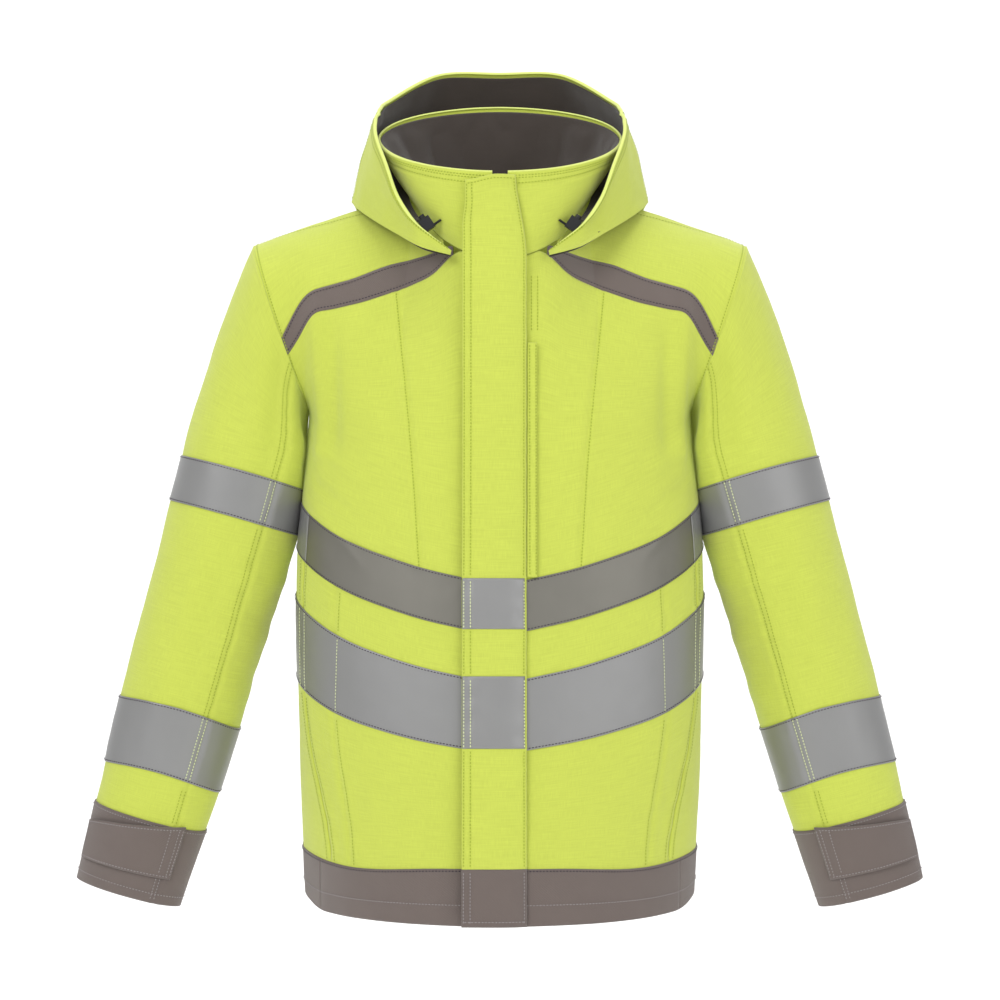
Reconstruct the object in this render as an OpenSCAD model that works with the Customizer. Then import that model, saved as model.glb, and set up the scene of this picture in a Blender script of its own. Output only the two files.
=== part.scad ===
// Hooded turnout coat: shell of fabric panels with reflective tapes, storm flap over a front zip,
// two-part sleeves with cuff tabs, stand collar and a fold-down hood.
// Millimetres, +Z up, the wearer faces -Y, +X is the wearer's left. The origin is the hanger loop.

/* [Body] */
// Half width of the body at the hem
hem_half_w = 200; // [170:1:240]
// Half width at the waist tape
waist_half_w = 211; // [180:1:250]
// Distance of the front edge from the middle plane at the hem
front_depth = 152; // [120:1:180]
// How much the front edge leans back, per millimetre of height
front_lean = 0.072; // [0:0.001:0.12]
// Distance of the back from the middle plane
back_depth = 139; // [110:1:170]
// Height of the hem edge above the datum
hem_z = 32; // [0:1:60]
// How far the rings of tape climb from the front edge to the side
tape_rise = 82; // [0:1:120]
// Thickness of a shell panel
cloth = 1.2; // [0.8:0.1:2]
// Thickness of a reflective tape
tape = 0.6; // [0.3:0.1:1.2]
// Gap between two layers that lie on each other
gap = 0.35; // [0.2:0.05:0.6]

/* [Zip and storm flap] */
// Half distance between the two front edges
front_edge = 7; // [4:0.5:12]
// Spacing of the zip teeth
tooth_pitch = 6; // [3:0.5:8]
// Free edge of the storm flap
flap_free = -36; // [-60:1:-20]
// Sewn edge of the storm flap
flap_sewn = 24.5; // [15:0.5:40]
// Top of the storm flap
flap_top = 769; // [700:1:800]

/* [Shoulder, collar and hood] */
// Shoulder point from the middle plane
shoulder_x = 255.5; // [220:0.5:280]
// Height of the shoulder point
shoulder_z = 709; // [650:1:740]
// Tilt of the armhole plane from the vertical
armhole_tilt = 19.5; // [10:0.5:30]
// Length of the armhole along its plane
armhole_len = 178; // [150:1:220]
// Half width of the neck seam
neck_half_w = 84; // [70:1:100]
// Half width of the collar rim
rim_half_w = 123; // [90:1:140]

/* [Sleeves] */
// Half width of the sleeve at the upper arm
arm_half_w = 69; // [55:1:80]
// Half width of the cuff end
cuff_half_w = 54.5; // [45:0.5:65]
// Tilt of the sleeve from the vertical
arm_tilt = 15.67; // [5:0.1:30]
// Length from the middle of the armhole to the cuff end
arm_len = 609; // [500:1:680]
// Elbow position along the sleeve
elbow_s = 305; // [260:1:350]
// Top of the cuff along the sleeve
cuff_s = 527; // [480:1:560]

/* [Hidden] */
origin = [0, 67, 760];       // hanger loop, in the datum frame that the other positions are given in
mid_row = 344;               // height, at the front edge, of the seam under the chest tape
arm_row = 458;               // height, at the front edge, of the ring that meets the armpit
step = 7.5;                  // angle between two columns of the body
elbow_r = 84;                // knuckle radius of the elbow joint
arm_c = [221, 0, 625];       // middle of the armhole
arm_d = [sin(arm_tilt), 0, -cos(arm_tilt)];
arm_p = [-cos(arm_tilt), 0, -sin(arm_tilt)];
fs = [-1, 1];
$fn = 32;

yellow = [0.80, 0.88, 0.33];
grey = [0.44, 0.40, 0.38];
silver = [0.60, 0.60, 0.59];
dark = [0.26, 0.22, 0.20];
black = [0.06, 0.06, 0.06];
metal = [0.62, 0.62, 0.60];

// ---------- arithmetic ----------
function mix(a, b, t) = a + (b - a) * t;
function unit(v) = v / max(norm(v), 1e-6);
function flipx(v) = [-v[0], v[1], v[2]];
// Value at x of a table of [x, value] rows, straight between rows
function at(tab, x, i = 0) =
    x <= tab[0][0] ? tab[0][1] :
    i > len(tab) - 2 ? tab[len(tab) - 1][1] :
    x <= tab[i + 1][0]
        ? mix(tab[i][1], tab[i + 1][1], (x - tab[i][0]) / (tab[i + 1][0] - tab[i][0]))
        : at(tab, x, i + 1);
// Smooth curve through the points of a list, t from 0 to 1
function spline(a, b, c, d, t) = 0.5 * (2 * b + (c - a) * t + (2 * a - 5 * b + 4 * c - d) * t * t
    + (3 * b - a - 3 * c + d) * t * t * t);
function curve(p, t) = let (n = len(p) - 1, k = min(floor(t * n), n - 1))
    spline(p[max(k - 1, 0)], p[k], p[k + 1], p[min(k + 2, n)], t * n - k);

// ---------- body surface ----------
half_width = [[32, hem_half_w], [110, 204], [200, 208], [300, waist_half_w], [383, 212.5],
              [440, 206], [490, 200], [541, 196.1]];
rises = [[32, 3], [86, -8], [145, 30], [203, 71], [273, 81], [319, 83], [369, tape_rise]];
function front_y(z) = -(front_depth - front_lean * (z - hem_z));
function climb(a) = a <= 90 ? pow(a / 90, 2) : 1 - 0.25 * pow((a - 90) / 90, 1.5);
// Point of the lower body: a is the angle from the front edge, v the height at the front edge
function low(a, v) =
    let (z = v + at(rises, v) * climb(a), hw = at(half_width, z), b = a < 90 ? -front_y(z) : back_depth,
         q = 2.2, r = pow(pow(abs(sin(a)) / hw, q) + pow(abs(cos(a)) / b, q), -1 / q))
    [max(r * sin(a), a < 90 ? front_edge : 0), -r * cos(a), z];
// Armhole loop, f from 0 at the armpit to 180 at the shoulder point, side -1 front or 1 back
function armhole(f, side) = let (w = armhole_len / 2 * (1 + cos(f)))
    [shoulder_x - w * sin(armhole_tilt), side * 70 * sin(f), shoulder_z - w * cos(armhole_tilt)];
// Neck seam loop, a from 0 at the front edge to 180 at the middle of the back
function neck(a) = [max(neck_half_w * sin(a), a < 90 ? front_edge : 0), -10 - (a < 90 ? 95 : 85) * cos(a),
    a < 90 ? 684 + 80 * (1 - cos(a)) : 752 + 12 * pow(sin(a), 2)];
shoulder_tip = armhole(180, 1);
function top_edge(s) = s < 0.5 ? neck(180 * s) : mix(neck(90), shoulder_tip, 2 * s - 1);
function back_top(s) = s < 0.5 ? neck(180 - 180 * s) : mix(neck(90), shoulder_tip, 2 * s - 1);
back_line = [low(180, arm_row), [0, 139, 590], [0, 127, 660], [0, 105, 715], neck(180)];
// Four-sided patch from its edges: lower, upper, middle and armhole. The armhole's bow dies away
// faster than straight, which keeps the chest flat beside the front edge.
function coons(lo, hi, inn, out, c, s, t) = let (k = pow(s, 1.5))
    mix(lo, hi, t) + (1 - k) * (inn - mix(c[0], c[2], t)) + k * (out - mix(c[1], c[3], t));
function chest(s, t) = coons(low(90 * s, arm_row), top_edge(s),
    [front_edge, front_y(mix(arm_row, 684, t)), mix(arm_row, 684, t)], armhole(180 * t, -1),
    [low(0, arm_row), armhole(0, 1), neck(0), shoulder_tip], s, t);
function upper_back(s, t) = coons(low(180 - 90 * s, arm_row), back_top(s),
    curve(back_line, t), armhole(180 * t, 1),
    [low(180, arm_row), armhole(0, 1), neck(180), shoulder_tip], s, t);
// Columns run from 0 at the front edge, 12 at the side, 24 at the middle of the back, on to 48
function fold(c) = c > 24 ? 48 - c : c;
function body(c, v, t = 0) =
    let (k = fold(c),
         p = t <= 0 ? low(step * k, v) : k <= 12 ? chest(k / 12, t) : upper_back((24 - k) / 12, t))
    c > 24 ? flipx(p) : p;
function body_n(c, v, t = 0) =
    let (k = fold(c), e = 0.05, k0 = t > 0 && k > 12 ? max(k - e, 12) : max(k - e, 0),
         k1 = max(1, t > 0 && k <= 12 ? min(k + e, 12) : min(k + e, 24)),
         t0 = max(t - 0.01, 0), t1 = min(t + 0.01, 1), u = body(k1, v, t) - body(k0, v, t),
         w = t > 0 ? body(k, v, t1) - body(k, v, t0) : body(k, v + 2) - body(k, v - 2),
         n = unit(cross(u, w)), m = k == 24 ? unit([0, n[1], n[2]]) : n)
    c > 24 ? flipx(m) : m;

// ---------- sheets ----------
function two(a, b, c, d) = [[a, b, c], [a, c, d]];
// Closed sheet between two grids of points; wrap joins the last column to the first
module sheet(outer, inner, wrap = false) {
    nu = len(outer) - (wrap ? 0 : 1);
    nv = len(outer[0]) - 1;
    nc = len(outer);
    half = nc * (nv + 1);
    pts = concat([for (c = outer) for (p = c) p], [for (c = inner) for (p = c) p]);
    function id(i, j) = (i % nc) * (nv + 1) + j;
    skin = [for (i = [0 : nu - 1]) for (j = [0 : nv - 1]) for (f = concat(
        two(id(i, j), id(i, j + 1), id(i + 1, j + 1), id(i + 1, j)),
        two(half + id(i, j), half + id(i + 1, j), half + id(i + 1, j + 1), half + id(i, j + 1)))) f];
    ends = [for (i = [0 : nu - 1]) for (f = concat(
        two(half + id(i, 0), id(i, 0), id(i + 1, 0), half + id(i + 1, 0)),
        two(half + id(i, nv), half + id(i + 1, nv), id(i + 1, nv), id(i, nv)))) f];
    sides = wrap ? [] : [for (j = [0 : nv - 1]) for (f = concat(
        two(half + id(0, j + 1), id(0, j + 1), id(0, j), half + id(0, j)),
        two(half + id(nu, j), id(nu, j), id(nu, j + 1), half + id(nu, j + 1)))) f];
    polyhedron(pts, concat(skin, ends, sides));
}
// Sheet of the body between columns c0 and c1; rows is a list of [height, fraction above the armpit]
module body_sheet(c0, c1, rows, d0, d1, hop = 1) {
    sheet([for (c = [c0 : hop : c1]) [for (r = rows) body(c, r[0], r[1]) + d1 * body_n(c, r[0], r[1])]],
          [for (c = [c0 : hop : c1]) [for (r = rows) body(c, r[0], r[1]) + d0 * body_n(c, r[0], r[1])]]);
}
function flat_rows(v) = [for (x = v) [x, 0]];
module place() translate(-origin) children();
module left() place() children();
module right() place() mirror([1, 0, 0]) children();

// ---------- panels ----------
skirt_rows = flat_rows([86, 145, 203, 238, 273, 319, mid_row]);
tape_on = cloth + gap;
module front_skirt() color(yellow) body_sheet(0, 8, skirt_rows, 0, cloth);
module side_panel() color(yellow) body_sheet(8, 16, skirt_rows, 0, cloth);
// Lower and upper edges of the shoulder strip, as a fraction of the way up each column
strip_lo = [[0, 1], [2 / 12, 1], [3 / 12, 0.89], [4 / 12, 0.78], [0.5, 0.62], [0.75, 0.568],
            [11 / 12, 0.43], [1, 0.387]];
strip_hi = [[3 / 12, 0.985], [4 / 12, 0.9], [0.5, 0.727], [0.75, 0.671], [10 / 12, 0.65],
            [11 / 12, 0.56], [1, 0.458]];
function bs(c, v, t, d) = body(c, v, t) + d * body_n(c, v, t);
function chest_column(c, d) = concat([for (v = [mid_row, 369, 415, arm_row]) bs(c, v, 0, d)],
    [for (k = [1 : 4]) bs(c, arm_row, at(strip_lo, c / 12) * k / 4, d)]);
module chest_panel() color(yellow)
    sheet([for (c = [0 : 12]) chest_column(c, cloth)], [for (c = [0 : 12]) chest_column(c, 0)]);
function part_column(c, lo, hi, n, d) =
    [for (k = [0 : n]) bs(c, arm_row, mix(at(lo, c / 12), at(hi, c / 12), k / n), d)];
module between(c0, lo, hi, n, d0, d1)
    sheet([for (c = [c0 : 12]) part_column(c, lo, hi, n, d1)],
          [for (c = [c0 : 12]) part_column(c, lo, hi, n, d0)]);
module shoulder_strip() color(grey) between(3, strip_lo, strip_hi, 1, 0, cloth);
module yoke() color(yellow) between(3, strip_hi, [[0, 1]], 3, 0, cloth);
back_rows = concat(flat_rows([mid_row, 369, 415, arm_row]), [for (k = [1 : 5]) [arm_row, k / 5]]);

module left_front_skirt() left() front_skirt();
module right_front_skirt() right() front_skirt();
module left_side_panel() left() side_panel();
module right_side_panel() right() side_panel();
module back_skirt() color(yellow) place() body_sheet(16, 32, skirt_rows, 0, cloth);
module left_chest_panel() left() chest_panel();
module right_chest_panel() right() chest_panel();
module back_panel() color(yellow) place() body_sheet(12, 36, back_rows, 0, cloth);
module left_shoulder_strip() left() shoulder_strip();
module right_shoulder_strip() right() shoulder_strip();
module left_yoke() left() yoke();
module right_yoke() right() yoke();
module left_hem_band() color(grey) left() body_sheet(0, 8, flat_rows([hem_z, 86]), -0.6, cloth + 0.4);
module right_hem_band() color(grey) right() body_sheet(0, 8, flat_rows([hem_z, 86]), -0.6, cloth + 0.4);
module back_hem_band() color(grey) place() body_sheet(8, 40, flat_rows([hem_z, 86]), -0.6, cloth + 0.4);
// Tapes keep to the rows of the panels under them, so that the gap is the same all round
chest_rows = flat_rows([319, mid_row, 369]);
waist_rows = flat_rows([203, 238, 273]);
module body_tape(c0, c1, rows) color(silver) body_sheet(c0, c1, rows, tape_on, tape_on + tape);
module left_chest_tape() left() body_tape(0, 10, chest_rows);
module right_chest_tape() right() body_tape(0, 10, chest_rows);
module back_chest_tape() place() body_tape(10, 38, chest_rows);
module left_waist_tape() left() body_tape(0, 10, waist_rows);
module right_waist_tape() right() body_tape(0, 10, waist_rows);
module back_waist_tape() place() body_tape(10, 38, waist_rows);
module torso_lining() color(dark) place()
    body_sheet(3, 45, flat_rows([100, 203, 319, 415]), -2.0, -1.2, 3);

// ---------- collar ----------
function rim(a) = [max(rim_half_w * sin(a), a < 90 ? front_edge : 0), -10 - (a < 90 ? 89 : 88) * cos(a),
    771 + 95 * (1 - cos(a)) / 2];
function collar_half(a, t) = mix(neck(a) + [0, 0, 2.4], rim(a), t)
    + 5 * sin(180 * t) * sin(a) * [sin(a), -cos(a), 0];
function collar(a, t) = a > 180 ? flipx(collar_half(360 - a, t)) : collar_half(a, t);
function collar_n(a, t) = let (e = 1, a0 = min(max(a - e, 0), 345), a1 = max(min(a + e, 360), 15),
    n = unit(cross(collar(a1, t) - collar(a0, t), collar(a, min(t + 0.02, 1)) - collar(a, max(t - 0.02, 0)))))
    a < 8 || a > 352 ? unit([0, n[1], n[2]]) : n;
function collar_column(a, t0, t1, n, d) =
    [for (k = [0 : n]) let (t = mix(t0, t1, k / n)) collar(a, t) + d * collar_n(a, t)];
module collar_sheet(t0, t1, n, d0, d1)
    sheet([for (a = [0 : 15 : 360]) collar_column(a, t0, t1, n, d1)],
          [for (a = [0 : 15 : 360]) collar_column(a, t0, t1, n, d0)]);
module collar_outer() color(yellow) place() collar_sheet(0, 1, 4, 0, 1.4);
module collar_lining() color(dark) place() collar_sheet(0, 1, 4, -1.4, -0.4);
// Loop bowed into the neck opening, its ends lying on the collar lining
loop_bow = [[-24, 2.2], [-22, 0.6], [-13, -4.6], [0, -6], [13, -4.6], [22, 0.6], [24, 2.2]];
module hanger_loop() color(dark) translate([0, 0, -4]) linear_extrude(8)
    polygon(concat(loop_bow, [for (k = [6 : -1 : 0])
        loop_bow[k] + [loop_bow[k][0] / 24 * 1.2, k == 0 || k == 6 ? 0 : -1.6]]));

// ---------- hood ----------
// Face edge and fold line of the lowered hood, from the front end to the middle of the back
hood_edge = [[48, -106, 692], [84, -95, 720], [103, -80, 747], [117, -70, 782], [133, -42, 822],
             [132, 4, 853], [122, 50, 871], [68, 101, 907], [0, 112, 911]];
hood_fold = [[49, -109, 688], [80, -102, 697], [104, -80, 712], [128, -50, 729], [148, -16, 746],
             [155, 32, 758], [140, 105, 735], [90, 168, 695], [0, 190, 668]];
neck_fold = [for (k = [0 : 8]) let (n = neck(20 + 20 * k)) [n[0] * 1.13, n[1] * 1.13, n[2] + 6]];
function hood_half(a, t) =
    let (lo = curve(hood_fold, a), hi = curve(hood_edge, a), m = mix(lo, hi, 0.5),
         out = unit([m[0], m[1] + 20, 0]), c = m + out * mix(6, 46, pow(a, 4)) * (a < 0.2 ? a * 5 : 1))
    lo * pow(1 - t, 2) + 2 * t * (1 - t) * c + hi * t * t;
function hood(a, t) = a > 0.5 ? flipx(hood_half(2 - 2 * a, t)) : hood_half(2 * a, t);
function hood_n(a, t) = let (e = 0.004)
    unit(cross(hood(min(a + e, 1), t) - hood(max(a - e, 0), t),
               hood(a, min(t + 0.02, 1)) - hood(a, max(t - 0.02, 0))));
function hood_column(a, t0, t1, n, d) =
    [for (k = [0 : n]) let (t = mix(t0, t1, k / n)) hood(a, t) + d * hood_n(a, t)];
module hood_sheet(t0, t1, n, d0, d1)
    sheet([for (a = [0 : 24]) hood_column(a / 24, t0, t1, n, d1)],
          [for (a = [0 : 24]) hood_column(a / 24, t0, t1, n, d0)]);
module hood_shell() color(yellow) place() hood_sheet(0, 1, 6, 0, 1.4);
module hood_lining() color(dark) place() hood_sheet(0, 4 / 6, 4, -1.2, -0.4);
module hood_facing() color(dark) place() hood_sheet(4 / 6, 1, 2, -1.2, -0.4);
// Inner layer of the hood, from the neck seam out to the fold
function band_half(b, t) = mix(curve(neck_fold, b), curve(hood_fold, b), t * 0.86);
function band(a, t, d) = [0, 0, d] + (a > 0.5 ? flipx(band_half(2 - 2 * a, t)) : band_half(2 * a, t));
module hood_neck_band() color(dark) place()
    sheet([for (k = [3 : 21]) [for (t = [1, 0.5, 0]) band(k / 24, t, cloth)]],
          [for (k = [3 : 21]) [for (t = [1, 0.5, 0]) band(k / 24, t, 0)]]);
lock_at = [73.9, -88.4, 721.6];
module cord_lock() color(black) translate(lock_at) rotate([0, 35, 0]) difference() {
    translate([-6, -4.5, -8]) cube([12, 9, 13]);
    translate([0, 0, -4]) cylinder(r = 3.5, h = 12);
    translate([-8, 0, -6]) rotate([0, 90, 0]) cylinder(r = 1.5, h = 16);
}
module lock_button() color(black) translate(lock_at) rotate([0, 35, 0]) cylinder(r = 3.1, h = 9);
module elastic_cord() color(dark) translate(lock_at) rotate([0, 35, 0])
    translate([-14, 0, -6]) rotate([0, 90, 0]) cylinder(r = 1.2, h = 28);
module left_elastic_cord() left() elastic_cord();
module right_elastic_cord() right() elastic_cord();
module left_cord_lock() left() cord_lock();
module right_cord_lock() right() cord_lock();
module left_lock_button() left() lock_button();
module right_lock_button() right() lock_button();

// ---------- front line: everything here lies in the leaning plane of the front edges ----------
lean_angle = atan(front_lean);
front_len = 771 - hem_z;
// Local frame: x across, y out of the coat towards the back, z up along the front edge
module on_front(z0 = 0) place() translate([0, -front_depth, hem_z]) rotate([-lean_angle, 0, 0])
    translate([0, 0, z0]) children();
module strip(x0, x1, q0, q1, z0, z1) on_front(z0) translate([x0, -q1, 0]) cube([x1 - x0, q1 - q0, z1 - z0]);
module teeth(side) color(black) on_front(6) translate([0, 1.2, 0]) rotate([90, 0, 0]) linear_extrude(2.2) {
    n = floor((front_len - 22) / tooth_pitch);
    polygon(concat([[side * 3.3, 0]],
        [for (k = [0 : n - 1]) let (z = k * tooth_pitch + (side > 0 ? 0 : tooth_pitch / 2))
            for (q = [[2.4, 0], [-1.6, 0.3], [-1.6, tooth_pitch / 2 - 0.6], [2.4, tooth_pitch / 2 - 0.3]])
                [side * q[0], z + q[1] + 0.1]],
        [[side * 3.3, n * tooth_pitch]]));
}
module zip_teeth_left() teeth(1);
module zip_teeth_right() teeth(-1);
module zip_tape_left() color(black) strip(3.5, front_edge - 0.2, -1.0, -0.3, 0, front_len - 2);
module zip_tape_right() color(black) strip(0.2 - front_edge, -3.5, -1.0, -0.3, 0, front_len - 2);
module zip_bottom_stop() color(metal) strip(-3.2, 3.2, -1.3, 1.6, 0, 5.6);
// Slider body at the top of the teeth, with cheeks each side and the bridge that carries the puller
slider_z = front_len - 22;
module zip_slider() color(metal) on_front(slider_z) {
    translate([-4.6, -3.0, 0]) cube([9.2, 1.2, 14]);
    for (s = fs) translate([s * 4.3 - 0.3, -2.9, 1]) cube([0.6, 3.0, 12]);
    translate([0, -3, 4]) difference() {
        translate([-1, -2.2, 0]) cube([2, 2.3, 8]);
        translate([-2, -1.0, 4]) rotate([0, 90, 0]) cylinder(r = 0.95, h = 4);
    }
}
module zip_puller() color(metal) on_front(slider_z) translate([0, -4.0, 8]) {
    rotate([0, 90, 0]) translate([0, 0, -3.1]) cylinder(r = 0.55, h = 6.2);
    for (s = fs) translate([s * 2.6 - 0.5, -0.6, -7]) cube([1, 1.2, 7.3]);
    translate([-3.1, -0.6, -24]) cube([6.2, 1.2, 17.4]);
}
// Cross-section of the storm flap, as [across, distance in front of the body]
flap_line = [[flap_sewn, 4.0], [12, 6.2], [0, 6.9], [-12, 6.6], [-24, 5.6], [flap_free, 4.4]];
function flap_band(d0, d1, x0 = -99, x1 = 99) =
    let (p = [for (q = flap_line) if (q[0] >= x0 && q[0] <= x1) q])
    concat([for (q = p) [q[0], -q[1] - d0]], [for (k = [len(p) - 1 : -1 : 0]) [p[k][0], -p[k][1] - d1]]);
module flap_slab(z0, z1, d0, d1, x0 = -99, x1 = 99)
    on_front(z0) linear_extrude(z1 - z0) polygon(flap_band(d0, d1, x0, x1));
flap_thick = 1.8;
module storm_flap() color(yellow) flap_slab(56, flap_top - hem_z, 0, flap_thick);
module flap_hem_band() color(grey) flap_slab(0, 55.8, 0, flap_thick + 0.3);
module flap_tapes() color(silver) for (b = [[172, 242], [288, 338]])
    flap_slab(b[0], b[1], flap_thick + 0.3, flap_thick + 0.3 + tape);
module hook_strip() color(black) flap_slab(70, 640, -0.9, -0.3, flap_free, -24);
module loop_strip() color(black) strip(-34, -22, cloth + 0.2, cloth + 0.6, 58, 165);
module chest_pocket_welt() color(yellow) strip(27.4, 36.4, cloth + 1.2, cloth + 1.9, 342, 568);

// ---------- sleeves ----------
sleeve_w = [[0, 70], [130, arm_half_w], [215, 68.5], [elbow_s, 66], [415, 63.5], [485, 61.5],
            [cuff_s, 58.5], [arm_len, cuff_half_w]];
sleeve_d = [[0, 70], [130, 66], [elbow_s, 60], [415, 50], [485, 44], [cuff_s, 38], [arm_len, 29]];
// Ring of the sleeve at s along it; its inner side is pressed flat where it lies along the body
function press(p, d) = [max(p[0], at(half_width, p[2]) + 4.9 - d), p[1], p[2]];
function ring(s, f, d) = let (p = arm_c + arm_d * s + arm_p * (at(sleeve_w, s) + d) * cos(f)
    + [0, -(at(sleeve_d, s) + d) * sin(f), 0]) s < 330 ? press(p, d) : p;
// Cap of the sleeve: t from 1 at the armhole to 0 at the first full ring
function cap(f, t, d) = let (side = f <= 180 ? -1 : 1, g = f <= 180 ? f : 360 - f,
    a = armhole(g, side) + 3.2 * [cos(armhole_tilt), 0, -sin(armhole_tilt)],
    n = unit([-cos(f) * 0.8, side * sin(g), -cos(f) * 0.25 * (g > 90 ? -1 : 1)]))
    mix(ring(130, f, d), a + n * max(d, 0) * 0.9, t);
function knuckle(r, f, d) = elbow_s - sqrt(pow(r, 2) - pow((at(sleeve_d, elbow_s) + d) * sin(f), 2));
around = [for (k = [0 : 23]) 15 * k];
function upper_column(f, d) = let (s0 = knuckle(elbow_r + 0.9, f, cloth))
    concat([for (s = [s0, mix(s0, 206, 0.5), 206, 158]) ring(s, f, d)],
           [for (t = [0, 0.33, 0.66, 1]) cap(f, t, d)]);
function lower_column(f, d) = let (s0 = knuckle(elbow_r, f, cloth))
    [for (s = [cuff_s, 485, 415, 360, mix(s0, 360, 0.5), s0]) ring(s, f, d)];
module upper_sleeve() color(yellow)
    sheet([for (f = around) upper_column(f, cloth)], [for (f = around) upper_column(f, 0)], true);
module lower_sleeve() color(yellow)
    sheet([for (f = around) lower_column(f, cloth)], [for (f = around) lower_column(f, 0)], true);
// Band round the sleeve; its front and back are raised by rise above its two sides
module sleeve_ring(s0, s1, d0, d1, rise = 0)
    sheet([for (f = around) [for (s = [s1, s0]) ring(s - rise * pow(sin(f), 2), f, d1)]],
          [for (f = around) [for (s = [s1, s0]) ring(s - rise * pow(sin(f), 2), f, d0)]], true);
module arm_tape() color(silver) sleeve_ring(158, 206, tape_on, tape_on + tape);
module wrist_tape() color(silver) sleeve_ring(415, 485, tape_on, tape_on + tape, 9);
module cuff() color(grey) sleeve_ring(cuff_s, arm_len, -0.6, cloth + 0.4);
function tab_ends(f) = let (t = (f - 47) / 110) [mix(579, 583, t), mix(528, 546, t)];
tab_cols = [for (k = [0 : 8]) 47 + 110 * k / 8];
module cuff_tab() color(grey)
    sheet([for (f = tab_cols) [for (s = tab_ends(f)) ring(s, f, 3.9)]],
          [for (f = tab_cols) [for (s = tab_ends(f)) ring(s, f, 2.3)]]);
module left_upper_sleeve() left() upper_sleeve();
module right_upper_sleeve() right() upper_sleeve();
module left_arm_tape() left() arm_tape();
module right_arm_tape() right() arm_tape();
module left_lower_sleeve() left() lower_sleeve();
module right_lower_sleeve() right() lower_sleeve();
module left_wrist_tape() left() wrist_tape();
module right_wrist_tape() right() wrist_tape();
module left_cuff() left() cuff();
module right_cuff() right() cuff();
module left_cuff_tab() left() cuff_tab();
module right_cuff_tab() right() cuff_tab();

left_front_skirt();
right_front_skirt();
left_side_panel();
right_side_panel();
back_skirt();
left_chest_panel();
right_chest_panel();
back_panel();
left_shoulder_strip();
right_shoulder_strip();
left_yoke();
right_yoke();
left_hem_band();
right_hem_band();
back_hem_band();
left_chest_tape();
right_chest_tape();
back_chest_tape();
left_waist_tape();
right_waist_tape();
back_waist_tape();
torso_lining();
collar_outer();
collar_lining();
hanger_loop();
hood_neck_band();
zip_tape_left();
zip_tape_right();
zip_teeth_left();
zip_teeth_right();
zip_bottom_stop();
loop_strip();
chest_pocket_welt();
zip_slider();
zip_puller();
storm_flap();
flap_tapes();
flap_hem_band();
hook_strip();
left_upper_sleeve();
right_upper_sleeve();
left_arm_tape();
right_arm_tape();
left_lower_sleeve();
right_lower_sleeve();
left_wrist_tape();
right_wrist_tape();
left_cuff();
right_cuff();
left_cuff_tab();
right_cuff_tab();
hood_shell();
hood_lining();
hood_facing();
left_elastic_cord();
right_elastic_cord();
left_cord_lock();
right_cord_lock();
left_lock_button();
right_lock_button();
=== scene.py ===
"""Looks of a hooded turnout coat, built around its CAD parts: cloth panels, tapes, stitching and fittings."""
import math

import bpy
import numpy as np
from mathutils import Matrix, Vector


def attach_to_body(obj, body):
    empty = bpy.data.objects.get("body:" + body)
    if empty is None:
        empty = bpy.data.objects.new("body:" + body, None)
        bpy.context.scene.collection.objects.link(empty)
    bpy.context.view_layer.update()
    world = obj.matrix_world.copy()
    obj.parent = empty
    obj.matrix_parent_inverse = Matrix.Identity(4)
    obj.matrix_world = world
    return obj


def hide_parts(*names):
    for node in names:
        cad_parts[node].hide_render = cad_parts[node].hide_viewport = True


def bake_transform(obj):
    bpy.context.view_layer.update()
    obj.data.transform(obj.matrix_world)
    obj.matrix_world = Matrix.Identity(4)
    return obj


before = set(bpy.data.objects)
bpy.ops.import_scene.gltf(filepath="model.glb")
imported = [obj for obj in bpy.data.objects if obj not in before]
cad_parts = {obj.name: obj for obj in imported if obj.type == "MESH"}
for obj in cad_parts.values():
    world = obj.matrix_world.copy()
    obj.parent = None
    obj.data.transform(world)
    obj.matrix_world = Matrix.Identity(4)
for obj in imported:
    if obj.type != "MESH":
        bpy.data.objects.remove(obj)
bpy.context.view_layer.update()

# ---------------------------------------------------------------- frame
# Shapes are worked out in millimetres in the pattern's own frame, whose floor is below the hem;
# ORIGIN is the hanger loop, the origin of the part.
ORIGIN = np.array([0.0, 67.0, 760.0])
MM = 0.001
SIDES = {"left": 1.0, "right": -1.0}


def to_row(p):
    return (np.asarray(p, float) - ORIGIN) * MM


# ---------------------------------------------------------------- small maths
def mix(a, b, t):
    return a + (b - a) * t


def smooth(t):
    t = np.clip(t, 0, 1)
    return t * t * (3 - 2 * t)


def unit(v):
    return v / np.maximum(np.linalg.norm(v, axis=-1, keepdims=True), 1e-9)


def flip(p, side):
    return p * np.array([side, 1.0, 1.0])


def table(points, width):
    """A smooth function through rough [x, value] rows, rounded over about width."""
    xs = np.array([p[0] for p in points], float)
    ys = np.array([p[1] for p in points], float)
    step = width / 6
    x = np.arange(xs[0] - 3 * width, xs[-1] + 3 * width, step)
    ends = (ys[1] - ys[0]) / (xs[1] - xs[0]), (ys[-1] - ys[-2]) / (xs[-1] - xs[-2])
    y = np.interp(x, xs, ys)
    y = np.where(x < xs[0], ys[0] + (x - xs[0]) * ends[0], y)
    y = np.where(x > xs[-1], ys[-1] + (x - xs[-1]) * ends[1], y)
    k = np.exp(-0.5 * (np.arange(-18, 19) / 6.0 * 1.6) ** 2)
    y = np.convolve(np.pad(y, 18, mode="edge"), k / k.sum(), mode="valid")
    return lambda q: np.interp(q, x, y)


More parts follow.
